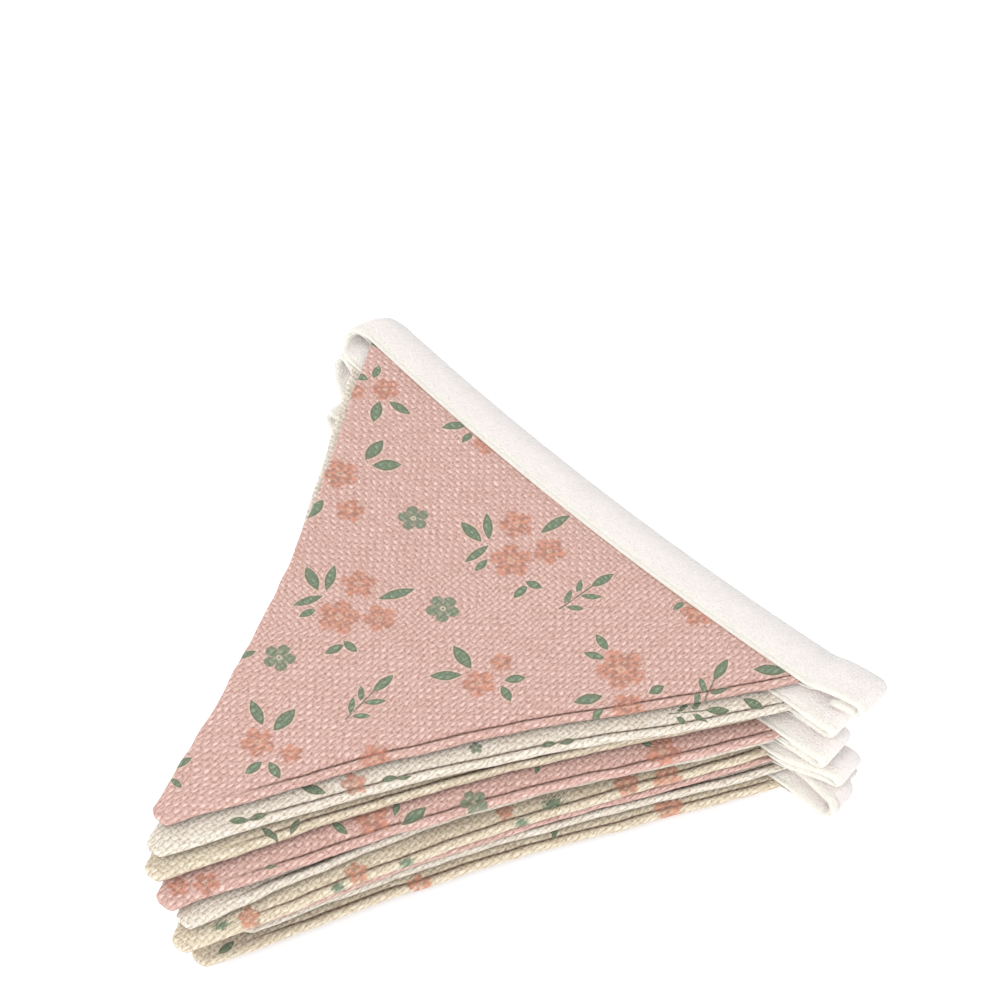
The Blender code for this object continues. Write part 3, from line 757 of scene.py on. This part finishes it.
def hairpin(reach, radius, spread):
    """Out, round and back in a plane: pairs of distance out and height about the middle."""
    straight = reach - radius
    outward = [(straight * step / TURN_STEPS,
                blend(spread / 2, radius, float(smooth(step / TURN_STEPS))))
               for step in range(1, TURN_STEPS + 1)]
    angles = [blend(math.pi / 2, -math.pi / 2, step / ARC_STEPS) for step in range(1, ARC_STEPS)]
    bend = [(straight + radius * math.cos(angle), radius * math.sin(angle)) for angle in angles]
    return outward + bend + [(out, -height) for out, height in reversed(outward)]


def free_thick(out, thick=TAPE_THICK_FREE):
    """The tape thins from its thickness over a flag to its own as it leaves the corner."""
    return blend(TAPE_THICK_OVER_FLAG, thick, float(smooth(out / TAPE_THINS_OVER)))


def free_slot(out):
    return blend(SLOT_OPEN, SLOT_SHUT, float(smooth(out / TAPE_THINS_OVER)))


def tape_turn(turn):
    """Stations round the fold between two flags, without those at the two corners."""
    upper = FLAGS[turn.upper - 1]
    lower = FLAGS[turn.lower - 1]
    start, out_start, across_start = corner(upper, turn.side)
    end, out_end, across_end = corner(lower, turn.side)
    profile = hairpin(turn.reach, turn.radius, start.z - end.z)
    droops = [flag.droop_left if turn.side < 0 else flag.droop_right for flag in (upper, lower)]
    stations = []
    for step, (out, height) in enumerate(profile):
        share = float(smooth((step + 1) / (len(profile) + 1)))
        loose = float(smooth(out / turn.reach))
        way_out = out_start.lerp(out_end, share).normalized()
        across = across_start.lerp(across_end, share).normalized()
        point = start.lerp(end, share) + way_out * out + across * turn.slip * loose
        point.z = (start.z + end.z) / 2 + height
        stations.append(Station(point, across, blend(TAPE_WIDTH, turn.width, loose), free_thick(out),
                                free_slot(out), blend(droops[0], droops[1], share)))
    return stations


def top_tail():
    """The top tail, from its folded-under end back to the corner."""
    flag = FLAGS[0]
    start, out, across = corner(flag, 1)
    profile = hairpin(TAIL_REACH, TAIL_FOLD_RADIUS, 2 * TAIL_FOLD_RADIUS)
    profile = [(distance, height) for distance, height in profile
               if height > 0.0 or distance > TAIL_ENDS_AT]
    stations = []
    for step, (distance, height) in enumerate(profile):
        share = float(smooth((step + 1) / len(profile)))
        loose = float(smooth(distance / TAIL_REACH))
        rise = TAIL_RISE * float(smooth(distance / TAIL_RISES_OVER)) + height - TAIL_FOLD_RADIUS
        slip = TAIL_SLIP * loose + TAIL_FOLD_SLIP * share
        point = start + out * distance + across * slip + Vector((0.0, 0.0, rise))
        stations.append(Station(point, across, blend(TAPE_WIDTH, TAIL_WIDTH, loose),
                                free_thick(distance, TAIL_THICK), free_slot(distance),
                                blend(flag.droop_right, TAIL_END_DROOP, loose)))
    return list(reversed(stations))


def low_tail():
    """The bottom tail, from the corner to its cut end, lying on the surface."""
    start, out, across = corner(FLAGS[-1], 1)
    stations = []
    for step in range(1, TURN_STEPS + 1):
        distance = LOW_TAIL_REACH * step / TURN_STEPS
        thick = free_thick(distance)
        point = start + out * distance
        point.z = thick / 2
        stations.append(Station(point, across, TAPE_WIDTH, thick, free_slot(distance), 0.0))
    return stations


def tape_stations():
    """Every station from the top tail, back and forth over every flag, to the bottom tail."""
    stations = top_tail()
    for index, flag in enumerate(FLAGS):
        stations += tape_on_flag(flag, -1 if index % 2 == 0 else 1)
        if index < len(TURNS):
            stations += tape_turn(TURNS[index])
    return stations + low_tail()


def tape_ways(stations):
    """The way along the tape at each station."""
    last = len(stations) - 1
    return [(stations[min(index + 1, last)].point - stations[max(index - 1, 0)].point).normalized()
            for index in range(len(stations))]


def tape_ring(station, along):
    """The folded tape's cross-section with its slot: world points and distances round it."""
    half = station.thick / 2
    slot = station.slot / 2
    width = station.width
    upper = [(width - inset, share * half) for inset, share in TAPE_FOLD]
    upper += [(width * place, share * half) for place, share in TAPE_CROWN]
    shut = (SLOT_OPEN - station.slot) / (SLOT_OPEN - SLOT_SHUT)
    upper += [(place, blend(share, shut_share, shut) * half)
              for (place, share), (_, shut_share) in zip(TAPE_LIP, TAPE_SHUT_LIP)]
    deep = min(SLOT_DEEP, width - SLOT_CLEAR)
    inner = [(MOUTH_INSET, blend(slot - MOUTH_NIPS, LIPS_APART, shut)),
             (THROAT_INSET, blend(slot, LIPS_APART, shut)), (deep / 2, slot), (deep, slot)]
    outline = upper + inner + [(deep + SLOT_POINT, 0.0)]
    outline += [(place, -height) for place, height in reversed(inner)]
    outline += [(place, -height) for place, height in reversed(upper[1:])]
    upward = station.across.cross(along).normalized()
    ring = []
    for place, height in outline:
        point = station.point + station.across * place + upward * height
        ring.append((point.x, point.y, point.z - station.droop * float(droop_share(place))))
    return ring, [place for place, _ in outline]


def make_tape_cloth():
    """The folded tape as one closed strip, in place of its solid, and its whole length in metres."""
    stations = tape_stations()
    rings = []
    share = []
    for station, along in zip(stations, tape_ways(stations)):
        ring, across = tape_ring(station, along)
        rings.append(ring)
        share.append([place / station.width for place in across])
    rings = np.array(rings)
    share = np.array(share)
    steps = [(b.point - a.point).length for a, b in zip(stations, stations[1:])]
    run = np.cumsum([0.0] + steps)
    quads, ends = ring_faces(*share.shape)
    world = to_world(rings[..., 0], rings[..., 1], rings[..., 2])
    piece = mesh_object("tape_cloth", world.reshape(-1, 3), quads.tolist() + ends)
    mark = np.stack([run[:, None] + 0.0 * share, share * TAPE_WIDTH, share], axis=-1)
    vector_attribute(piece.data, "tape_place", "POINT", mark)
    return piece, sum(steps) * MM


def tape_stitch_path():
    """The lines of stitches along the tape's open edge, on its upper face over each flag."""
    lines = []
    for flag in FLAGS:
        stations = tape_on_flag(flag, 1)
        line = []
        for station, along in zip(stations, tape_ways(stations)):
            upward = station.across.cross(along).normalized()
            point = (station.point + station.across * TAPE_STITCH_INSET
                     + upward * station.thick / 2 * TAPE_STITCH_SHARE)
            point.z -= station.droop * float(droop_share(TAPE_STITCH_INSET))
            line.append(point)
        x, y, z = np.array(line).T
        lines.append(to_world(x, y, z + TAPE_STITCH_LIFT))
    return lines


def operator(operation):
    """An operator of a Field, which adds one Math node."""
    return lambda field, other: field.math(operation, other)


class Field:
    """A socket whose arithmetic adds the Math nodes that it names."""

    def __init__(self, tree, socket):
        self.tree = tree
        self.socket = socket

    def math(self, operation, *others):
        return add_node(self.tree, "ShaderNodeMath", {"operation": operation},
                        dict(enumerate((self,) + others)))

    __add__ = __radd__ = operator("ADD")
    __sub__ = operator("SUBTRACT")
    __mul__ = __rmul__ = operator("MULTIPLY")
    __truediv__ = operator("DIVIDE")
    __pow__ = operator("POWER")
    __lt__ = operator("LESS_THAN")
    __gt__ = operator("GREATER_THAN")

    def __neg__(self):
        return self * -1.0

    def __rsub__(self, other):
        return -self + other

    def clamp(self):
        return self.math("MAXIMUM", 0.0).math("MINIMUM", 1.0)

    def step(self, low, high):
        """0 below low, 1 above high and a soft ramp between them."""
        return add_node(self.tree, "ShaderNodeMapRange", {"interpolation_type": "SMOOTHSTEP"},
                        {0: self, 1: low, 2: high})


def feed(tree, socket, value):
    if isinstance(value, Field):
        tree.links.new(value.socket, socket)
    else:
        socket.default_value = value


def add_node(tree, kind, settings, sockets, output=0):
    """Any node: its type, its settings, and the values or links of its sockets."""
    node = tree.nodes.new(kind)
    for name, value in settings.items():
        setattr(node, name, value)
    for name, value in sockets.items():
        feed(tree, node.inputs[name], value)
    return Field(tree, node.outputs[output])


def attribute(tree, name):
    """A vector attribute, and its three numbers."""
    vector = add_node(tree, "ShaderNodeAttribute", {"attribute_name": name}, {}, "Vector")
    return vector, [add_node(tree, "ShaderNodeSeparateXYZ", {}, {0: vector}, axis) for axis in range(3)]


def noise(tree, vector, scale, detail=2.0, stretch=None):
    """Noise over a place in millimetres; scale is in cycles to the millimetre."""
    if stretch:
        vector = add_node(tree, "ShaderNodeVectorMath", {"operation": "MULTIPLY"},
                          {0: vector, 1: stretch})
    return add_node(tree, "ShaderNodeTexNoise", {}, {"Vector": vector, "Scale": scale, "Detail": detail})


def mix(tree, factor, first, second):
    """Two colours mixed."""
    return add_node(tree, "ShaderNodeMix", {"data_type": "RGBA"}, {0: factor, 6: first, 7: second}, 2)


def opaque(colour, gain=1.0):
    return tuple(min(channel * gain, 1.0) for channel in colour) + (1.0,)


def tinted(colour, gains):
    return opaque([channel * gain for channel, gain in zip(colour, gains)])


def start_material(name, roughness, sheen):
    """A Principled material with its constant numbers set; returns it, its tree and its shader."""
    material = bpy.data.materials.new(name)
    material.use_nodes = True
    tree = material.node_tree
    shader = tree.nodes["Principled BSDF"]
    for socket, value in (("Roughness", roughness), ("Specular IOR Level", 0.2), ("Sheen Weight", sheen),
                          ("Sheen Roughness", 0.6)):
        shader.inputs[socket].default_value = value
    return material, tree, shader


def finish_material(tree, shader, colour, height, distance):
    """Feeds a shader its colour, and its normal from a height in shares of a distance in metres."""
    feed(tree, shader.inputs["Base Color"], colour)
    normal = add_node(tree, "ShaderNodeBump", {}, {"Strength": 1.0, "Distance": distance, "Height": height})
    feed(tree, shader.inputs["Normal"], normal)


def oval(along, across, long, wide):
    """1 in the middle of an oval, falling to 0 at its edge."""
    return (1.0 - (along * (1.0 / long)) ** 2.0 - (across * (1.0 / wide)) ** 2.0).clamp()


def weave(x, y, upward):
    """Plain weave at a place counted in threads: its height, painted glints and shadows, and yarn's number.

    Glints and shadows are painted on the threads along x, or where upward is 1 on those along y.
    """
    column = x.math("FLOOR")
    row = y.math("FLOOR")
    odd_row = row.math("MODULO", 2.0)
    odd_column = (column + 1.0).math("MODULO", 2.0)
    along = (x + 0.5 - odd_row).math("MODULO", 2.0) - 1.0
    across = y - row - 0.5
    up = (y + 0.5 - odd_column).math("MODULO", 2.0) - 1.0
    side = x - column - 0.5
    height = oval(along, across, *YARN_OVAL).math("MAXIMUM", oval(up, side, *YARN_OVAL))
    glint = oval(along, across + along * 0.10, *GLINT_OVALS[0]) * (1.0 - upward)
    glint = glint + oval(up, side - up * 0.08, *GLINT_OVALS[1]) * upward
    dash = oval(along, across + SHADOW_OFF, *SHADOW_OVALS[0]) * (1.0 - upward)
    dash = dash + oval(up, side - SHADOW_OFF, *SHADOW_OVALS[1]) * upward
    number = ((x - odd_row + 0.5) * 0.5).math("FLOOR") * (1.0 - upward) + column * upward
    return height, glint, dash, number, row


# What the yarn and the print share: the place in millimetres, its place down the flag and in from
# the right edge, the threads' height, their painted glints and the painted shadows beside the floats,
# and two grains of fibres
Yarn = namedtuple("Yarn", "place down inset height light dash fibres strokes")


def woven_yarn(tree, pitch):
    """Coarse yarn that wanders a little, with glints painted on its yarns along x or on those along y."""
    place, (cloth_x, cloth_y, inset) = attribute(tree, "cloth_place")
    slow = noise(tree, place, 0.07, 1.0)
    quick = noise(tree, place, 0.50, 2.0)
    x = (cloth_x + (slow - 0.5) * 3.0 + (quick - 0.5) * 1.1) / pitch + THREADS_AWAY
    y = (cloth_y + (slow - 0.5) * 2.4 - (quick - 0.5) * 1.1) / pitch + THREADS_AWAY
    # Where the painted glints fall on the yarns along y instead of along x
    upward = (cloth_x * 0.9 - cloth_y * 0.6 + (slow - 0.5) * 80.0).step(5.0, 65.0)
    height, glint, dash, number, row = weave(x, y, upward)
    cell = add_node(tree, "ShaderNodeCombineXYZ", {}, {0: number, 1: row})
    chance = add_node(tree, "ShaderNodeTexWhiteNoise", {"noise_dimensions": "2D"}, {"Vector": cell})
    fibres = noise(tree, place, 2.4, 3.0)
    strokes = noise(tree, place, 1.0, 3.0, (2.3, 0.8, 0.0))
    # Painted highlight: how far each float's painted glint lightens it
    light = (glint.step(0.04, 0.50) * (chance * 0.55 + 0.45) + (fibres - 0.5) * 0.3 * glint).clamp()
    return Yarn(place, cloth_y, inset, height, light, dash, fibres, strokes)


def dyed(tree, yarn, colour):
    """The yarn in its colour: painted glints, painted shade in gaps, beside floats, in the hem groove and
    under rims, duller patches and darker streaks.
    """
    light = yarn.light
    blotch = noise(tree, yarn.place, 0.16, 2.0)
    # Painted shade where the threads lie low between the floats
    deep = (yarn.height + (yarn.fibres - 0.5) * 0.8).step(-0.05, 0.55)
    # lit is the painted highlight colour of the glints; dark is the painted shade colour of gaps and float
    # shadows, also used for darker fibre streaks
    lit = opaque([channel ** power for channel, power in zip(colour, GLINT_POWERS)])
    dark = tinted(colour, SHADE_GAINS)
    bright = mix(tree, light, opaque(colour), lit)
    tone = mix(tree, blotch.step(0.40, 0.70) * 0.5, bright, tinted(colour, DULL_GAINS))
    tone = mix(tree, light * 0.6, tone, bright)
    tone = mix(tree, 1.0 - deep, tone, dark)
    tone = mix(tree, yarn.strokes.step(0.50, 0.64) * (1.0 - light) * 0.76, tone, dark)
    # Painted shadow beside each float, kept off the glints
    float_shadows = yarn.dash.step(0.0, 0.6) * (yarn.fibres * 1.4 - 0.2).clamp() * (1.0 - light)
    tone = mix(tree, float_shadows, tone, dark)
    # Painted shade along the groove that the hem stitches pull down
    off_seam = (yarn.inset - SEAM_INSET).math("ABSOLUTE") + (yarn.fibres - 0.5) * 0.30
    groove_shade = (1.0 - off_seam.step(0.14, 0.46)) * (yarn.inset > 0.0) * yarn.down.step(*SEAM_LINE_FADES)
    tone = mix(tree, groove_shade * 0.95, tone, opaque(SEAM_SHADE))
    # Painted shade on the underside of each rim, where it meets the layer below
    return mix(tree, (-yarn.inset).step(0.0, 1.0) * 0.80, tone, opaque(SEAM_SHADE))


def printed(tree, yarn, tone, colours):
    """Soft flowers, crisp leaves and stems printed over the yarn, faint on its back."""
    light, dash, fibres, strokes = yarn.light, yarn.dash, yarn.fibres, yarn.strokes
    _, (spot_x, spot_y, kind) = attribute(tree, "print_place")
    behind = kind > BACK_OF_PRINT - 0.5
    kind = kind - behind * BACK_OF_PRINT
    faint = 1.0 - behind * 0.7

    def is_kind(name):
        return (kind > KINDS[name] - 0.5) * (kind < KINDS[name] + 0.5)

    mottle = noise(tree, yarn.place, 0.60, 3.0)
    ragged = (fibres - 0.5) * 0.30 + (strokes - 0.5) * 0.22
    reach = (spot_x * spot_x + spot_y * spot_y).math("SQRT")
    petals = (spot_y.math("ARCTAN2", spot_x) * 2.5).math("COSINE").math("ABSOLUTE")
    petal = petals ** 0.55 * 0.44 + 0.54 - reach + ragged * 0.8
    flower = is_kind("flower") * petal.step(-0.10, 0.16)
    green_flower = is_kind("green flower") * (petal - ragged * 0.5).step(-0.04, 0.06)
    is_leaf = is_kind("leaf")
    leaf_edge = (1.0 - spot_x * spot_x) ** 1.05 - spot_y.math("ABSOLUTE")
    leaf = is_leaf * (leaf_edge + ragged * 0.30).step(-0.06, 0.06)
    halo = is_leaf * leaf_edge.step(-0.42, -0.14)
    stem_edge = 1.15 - spot_y.math("ABSOLUTE") + ragged * 0.5
    stem = is_kind("stem") * stem_edge.step(0.0, 0.3) * (spot_x.math("ABSOLUTE") < 1.0)
    smudge = (kind > KINDS["smudge"] - 0.5) * (1.0 - reach + (strokes - 0.5) * 1.8).step(0.05, 0.70)
    rim = (1.0 - leaf_edge.step(0.08, 0.46)) * leaf + (1.0 - petal.step(0.0, 0.16)) * green_flower * 0.5
    rim = rim + stem * 1.2
    ring = (reach + ragged * 0.15).step(0.05, 0.10) * (1.0 - (reach + ragged * 0.3).step(0.13, 0.22))
    ring = ring * (flower * 0.42 + green_flower * 0.85).clamp()
    gap = (1.0 - petals.step(0.0, 0.45)) * reach.step(0.15, 0.4)

    petal_ink = mix(tree, mottle.step(0.36, 0.62), opaque(colours.petals, 0.72),
                    opaque(colours.petals, 1.45))
    petal_ink = mix(tree, gap * 0.45, petal_ink, opaque(colours.petals, 0.62))
    # The leaf ink lightens on the painted glints and darkens in the painted shadows beside the floats
    leaf_ink = mix(tree, (light * 0.5 + fibres * 2.0 - 0.75 - dash * 0.5).clamp(),
                   opaque(colours.leaves, 0.62), opaque(colours.leaves, 1.52))
    leaf_ink = mix(tree, rim.clamp() * 0.85, leaf_ink, opaque(LEAF_RIM))
    # Petal ink thins where glints are painted
    petal_cover = flower * (0.80 + (mottle - 0.5) * 0.6 + (fibres - 0.5) * 0.7 - light * 0.35).clamp()
    leaf_cover = green_flower * (0.88 - gap * 0.35) + leaf * 0.97 + stem * 0.85 + smudge * 0.95
    tone = mix(tree, halo * faint * 0.34, tone, opaque(colours.centres, 1.15))
    tone = mix(tree, petal_cover * faint, tone, petal_ink)
    tone = mix(tree, leaf_cover.clamp() * faint, tone, leaf_ink)
    return mix(tree, ring * faint, tone, opaque(colours.centres))


def cloth_material(name, colour):
    """Coarse plain weave with painted glints and painted shade, and the printed figures."""
    sizes = bpy.context.scene.bunting_sizes
    material, tree, shader = start_material(name, 0.92, 0.12)
    yarn = woven_yarn(tree, sizes.thread_pitch / MM)
    tone = printed(tree, yarn, dyed(tree, yarn, colour), bpy.context.scene.bunting_colours)
    relief = yarn.height + (yarn.fibres - 0.5) * 0.40 + (yarn.strokes - 0.5) * 0.8
    finish_material(tree, shader, tone, relief, sizes.weave_relief)
    return material


def tape_material(name, colour):
    """Soft brushed tape: fuzzy all over, ribbed by its fold and painted greyer there as shade, and creamy at
    its open edge.
    """
    sizes = bpy.context.scene.bunting_sizes
    material, tree, shader = start_material(name, 0.95, 0.25)
    place, (along, across, share) = attribute(tree, "tape_place")
    slow = noise(tree, place, 0.25, 2.0)
    turns = (along + across * 0.35 + (slow - 0.5) * 2.2) * (math.tau * MM / sizes.rib_pitch)
    ribs = turns.math("SINE") * 0.5 + 0.5
    nap = noise(tree, place, 1.3, 3.0)
    fuzz = noise(tree, place, 3.4, 3.0)
    soft = noise(tree, place, 0.10, 2.0)
    fold = share.step(0.45, 0.98)
    lip = 1.0 - share.step(0.10, 0.24)
    shade = tinted(colour, HOLLOW_GAINS)
    # Painted shade: the tape's fold side is tinted greyer
    tone = mix(tree, fold * 0.7, opaque(colour), tinted(colour, FOLD_SHADE_GAINS))
    tone = mix(tree, lip * 0.8, tone, tinted(colour, LIP_GAINS))
    fluff = ribs * (fold * 0.30 + lip * 0.15) + (nap - 0.48) * 1.0 + (fuzz - 0.5) * 0.8
    tone = mix(tree, fluff.clamp(), tone, shade)
    tone = mix(tree, soft.step(0.4, 0.7) * 0.12, tone, shade)
    relief = ribs * (fold * 0.30 + 0.06) + nap * 1.2 + fuzz * 0.5 + soft * 1.2
    finish_material(tree, shader, tone, relief, TAPE_RELIEF * MM)
    return material


def thread_material(name, colour, gain):
    """Twisted sewing thread."""
    material, tree, shader = start_material(name, 0.8, 0.1)
    place = add_node(tree, "ShaderNodeTexCoord", {}, {}, "Object")
    grain = noise(tree, place, 2200.0, 2.0)
    tone = mix(tree, grain, opaque(colour, gain * 0.8), opaque(colour, gain))
    finish_material(tree, shader, tone, grain, THREAD_RELIEF * MM)
    return material


def stitch_tree():
    """A node tree that lays short rounded stitches end to end along a line."""
    tree = bpy.data.node_groups.new("stitches", "GeometryNodeTree")
    face = tree.interface
    face.new_socket("Geometry", in_out="INPUT", socket_type="NodeSocketGeometry")
    for name in ("Pitch", "Length", "Thickness"):
        face.new_socket(name, in_out="INPUT", socket_type="NodeSocketFloat")
    face.new_socket("Thread", in_out="INPUT", socket_type="NodeSocketMaterial")
    face.new_socket("Geometry", in_out="OUTPUT", socket_type="NodeSocketGeometry")
    steps = {name: tree.nodes.new(kind) for name, kind in (
        ("in", "NodeGroupInput"), ("out", "NodeGroupOutput"), ("line", "GeometryNodeMeshToCurve"),
        ("points", "GeometryNodeCurveToPoints"), ("ball", "GeometryNodeMeshUVSphere"),
        ("size", "ShaderNodeCombineXYZ"), ("shape", "GeometryNodeTransform"),
        ("put", "GeometryNodeInstanceOnPoints"), ("real", "GeometryNodeRealizeInstances"),
        ("soft", "GeometryNodeSetShadeSmooth"), ("paint", "GeometryNodeSetMaterial"))}
    steps["points"].mode = "LENGTH"
    for socket, value in (("Segments", 6), ("Rings", 5), ("Radius", 0.5)):
        steps["ball"].inputs[socket].default_value = value
    for source, output, target, socket in (
            ("in", "Geometry", "line", "Mesh"), ("line", "Curve", "points", "Curve"),
            ("in", "Pitch", "points", "Length"), ("in", "Thickness", "size", "X"),
            ("in", "Thickness", "size", "Y"), ("in", "Length", "size", "Z"),
            ("ball", "Mesh", "shape", "Geometry"), ("size", "Vector", "shape", "Scale"),
            ("points", "Points", "put", "Points"), ("points", "Rotation", "put", "Rotation"),
            ("shape", "Geometry", "put", "Instance"), ("put", "Instances", "real", "Geometry"),
            ("real", "Geometry", "soft", "Geometry"), ("soft", "Geometry", "paint", "Geometry"),
            ("in", "Thread", "paint", "Material"), ("paint", "Geometry", "out", "Geometry")):
        tree.links.new(steps[source].outputs[output], steps[target].inputs[socket])
    return tree


def sew(name, lines, material):
    """Stitches along lines of world points, as one plain mesh."""
    sizes = bpy.context.scene.bunting_sizes
    tree = bpy.data.node_groups.get("stitches") or stitch_tree()
    points = np.concatenate(lines)
    edges = []
    first = 0
    for line in lines:
        edges += [(first + place, first + place + 1) for place in range(len(line) - 1)]
        first += len(line)
    guide = mesh_object(name + "_line", points, [], edges)
    modifier = guide.modifiers.new("stitches", "NODES")
    modifier.node_group = tree
    values = {"Pitch": sizes.stitch_pitch, "Length": sizes.stitch_long,
              "Thickness": sizes.thread_thick, "Thread": material}
    for item in tree.interface.items_tree:
        if item.in_out == "INPUT" and item.name in values:
            modifier[item.identifier] = values[item.name]
    guide.update_tag()
    depsgraph = bpy.context.evaluated_depsgraph_get()
    mesh = bpy.data.meshes.new_from_object(guide.evaluated_get(depsgraph), depsgraph=depsgraph)
    guide.modifiers.remove(modifier)
    bpy.data.objects.remove(guide, do_unlink=True)
    mesh.name = name
    return add_object(name, mesh)


def one_per_cloth(make, ending, *settings):
    """A material for each colour of cloth, by the cloth's name."""
    colours = bpy.context.scene.bunting_colours
    return {cloth: make(cloth + ending, getattr(colours, cloth), *settings)
            for cloth in ("pink", "white", "cream")}


def facing(way):
    """The turn that points a lamp or a camera along a way."""
    return way.to_track_quat("-Z", "Y").to_euler()


class BUNTING_OT_make_flags(bpy.types.Operator):
    """Make the ten hemmed and printed flags"""
    bl_idname = "bunting.make_flags"
    bl_label = "Make Flags"

    def execute(self, context):
        finishes = one_per_cloth(cloth_material, "_weave")
        for index, flag in enumerate(FLAGS):
            piece = make_flag(flag)
            piece.data.materials.append(finishes[flag.cloth])
            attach(piece, "root")
            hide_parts(flag.name)
        return {"FINISHED"}


class BUNTING_OT_sew_hems(bpy.types.Operator):
    """Sew a row of stitches along each flag's hem"""
    bl_idname = "bunting.sew_hems"
    bl_label = "Sew Hems"

    def execute(self, context):
        threads = one_per_cloth(thread_material, "_thread", HEM_THREAD_GAIN)
        for flag in FLAGS:
            piece = sew(flag.name + "_hem_stitches", [hem_path(flag)], threads[flag.cloth])
            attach(piece, "root")
        return {"FINISHED"}


class BUNTING_OT_make_tape(bpy.types.Operator):
    """Make the folded tape that joins the flags"""
    bl_idname = "bunting.make_tape"
    bl_label = "Make Tape"

    def execute(self, context):
        piece, long = make_tape_cloth()
        piece.data.materials.append(tape_material("tape_weave", context.scene.bunting_colours.tape))
        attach(piece, "root")
        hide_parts("tape")
        return {"FINISHED"}


class BUNTING_OT_sew_tape(bpy.types.Operator):
    """Sew the tape's open edge down over each flag"""
    bl_idname = "bunting.sew_tape"
    bl_label = "Sew Tape"

    def execute(self, context):
        thread = thread_material("tape_thread", TAPE_THREAD, 1.0)
        piece = sew("tape_stitches", tape_stitch_path(), thread)
        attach(piece, "root")
        return {"FINISHED"}


class BUNTING_OT_make_stage(bpy.types.Operator):
    """Set up the plain floor, the soft light and the camera"""
    bl_idname = "bunting.make_stage"
    bl_label = "Make Stage"

    def execute(self, context):
        scene = context.scene
        half = scene.bunting_sizes.floor_wide / 2
        corners = [(-half, -half, 0.0), (half, -half, 0.0), (half, half, 0.0), (-half, half, 0.0)]
        floor = mesh_object("stage_floor", corners, [(0, 1, 2, 3)])
        material, _, shader = start_material("stage_floor_paint", 0.9, 0.0)
        shader.inputs["Base Color"].default_value = opaque(scene.bunting_colours.floor)
        shader.inputs["Emission Color"].default_value = opaque(scene.bunting_colours.floor)
        shader.inputs["Emission Strength"].default_value = FLOOR_GLOW
        floor.data.materials.append(material)
        scene.world = bpy.data.worlds.new("soft_room")
        scene.world.use_nodes = True
        sky = scene.world.node_tree.nodes["Background"]
        sky.inputs["Color"].default_value = (1.0, 1.0, 1.0, 1.0)
        sky.inputs["Strength"].default_value = SKY_STRENGTH
        for row in LAMPS:
            lamp = bpy.data.lights.new(row.name, "AREA")
            lamp.shape = "DISK"
            lamp.size = row.wide
            lamp.energy = row.power
            light = add_object(row.name, lamp)
            light.location = row.place
            light.rotation_euler = facing(Vector(LAMPS_FACE) - Vector(row.place))
        lens = bpy.data.cameras.new("view_camera")
        lens.lens = LENS
        lens.sensor_width = SENSOR
        lens.clip_start = NEAREST_SEEN * MM
        camera = add_object("view_camera", lens)
        away = Vector((math.sin(CAMERA_ROUND) * math.cos(CAMERA_UP),
                       -math.cos(CAMERA_ROUND) * math.cos(CAMERA_UP), math.sin(CAMERA_UP)))
        camera.location = Vector(AIM) * MM + away * CAMERA_AWAY * MM
        camera.rotation_euler = facing(-away)
        scene.camera = camera
        scene.view_settings.view_transform = "Standard"
        return {"FINISHED"}


class BUNTING_PT_panel(bpy.types.Panel):
    """The steps that dress the bunting, in order"""
    bl_idname = "BUNTING_PT_panel"
    bl_label = "Bunting"
    bl_space_type = "VIEW_3D"
    bl_region_type = "UI"
    bl_category = "Bunting"

    def draw(self, context):
        layout = self.layout
        for group in (context.scene.bunting_sizes, context.scene.bunting_colours):
            box = layout.box()
            for name in group.bl_rna.properties.keys():
                if name not in ("rna_type", "name"):
                    box.prop(group, name)
        for operator in OPERATORS:
            layout.operator(operator.bl_idname)


OPERATORS = (BUNTING_OT_make_stage, BUNTING_OT_make_flags, BUNTING_OT_sew_hems, BUNTING_OT_make_tape,
             BUNTING_OT_sew_tape)
CLASSES = (BuntingSizes, BuntingColours) + OPERATORS + (BUNTING_PT_panel,)


def register():
    for entry in CLASSES:
        bpy.utils.register_class(entry)
    bpy.types.Scene.bunting_sizes = bpy.props.PointerProperty(type=BuntingSizes)
    bpy.types.Scene.bunting_colours = bpy.props.PointerProperty(type=BuntingColours)


def unregister():
    del bpy.types.Scene.bunting_colours
    del bpy.types.Scene.bunting_sizes
    for entry in reversed(CLASSES):
        bpy.utils.unregister_class(entry)


def main():
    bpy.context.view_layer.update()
    register()
    bpy.ops.bunting.make_stage()
    bpy.ops.bunting.make_flags()
    bpy.ops.bunting.sew_hems()
    bpy.ops.bunting.make_tape()
    bpy.ops.bunting.sew_tape()


if __name__ == "__main__":
    main()
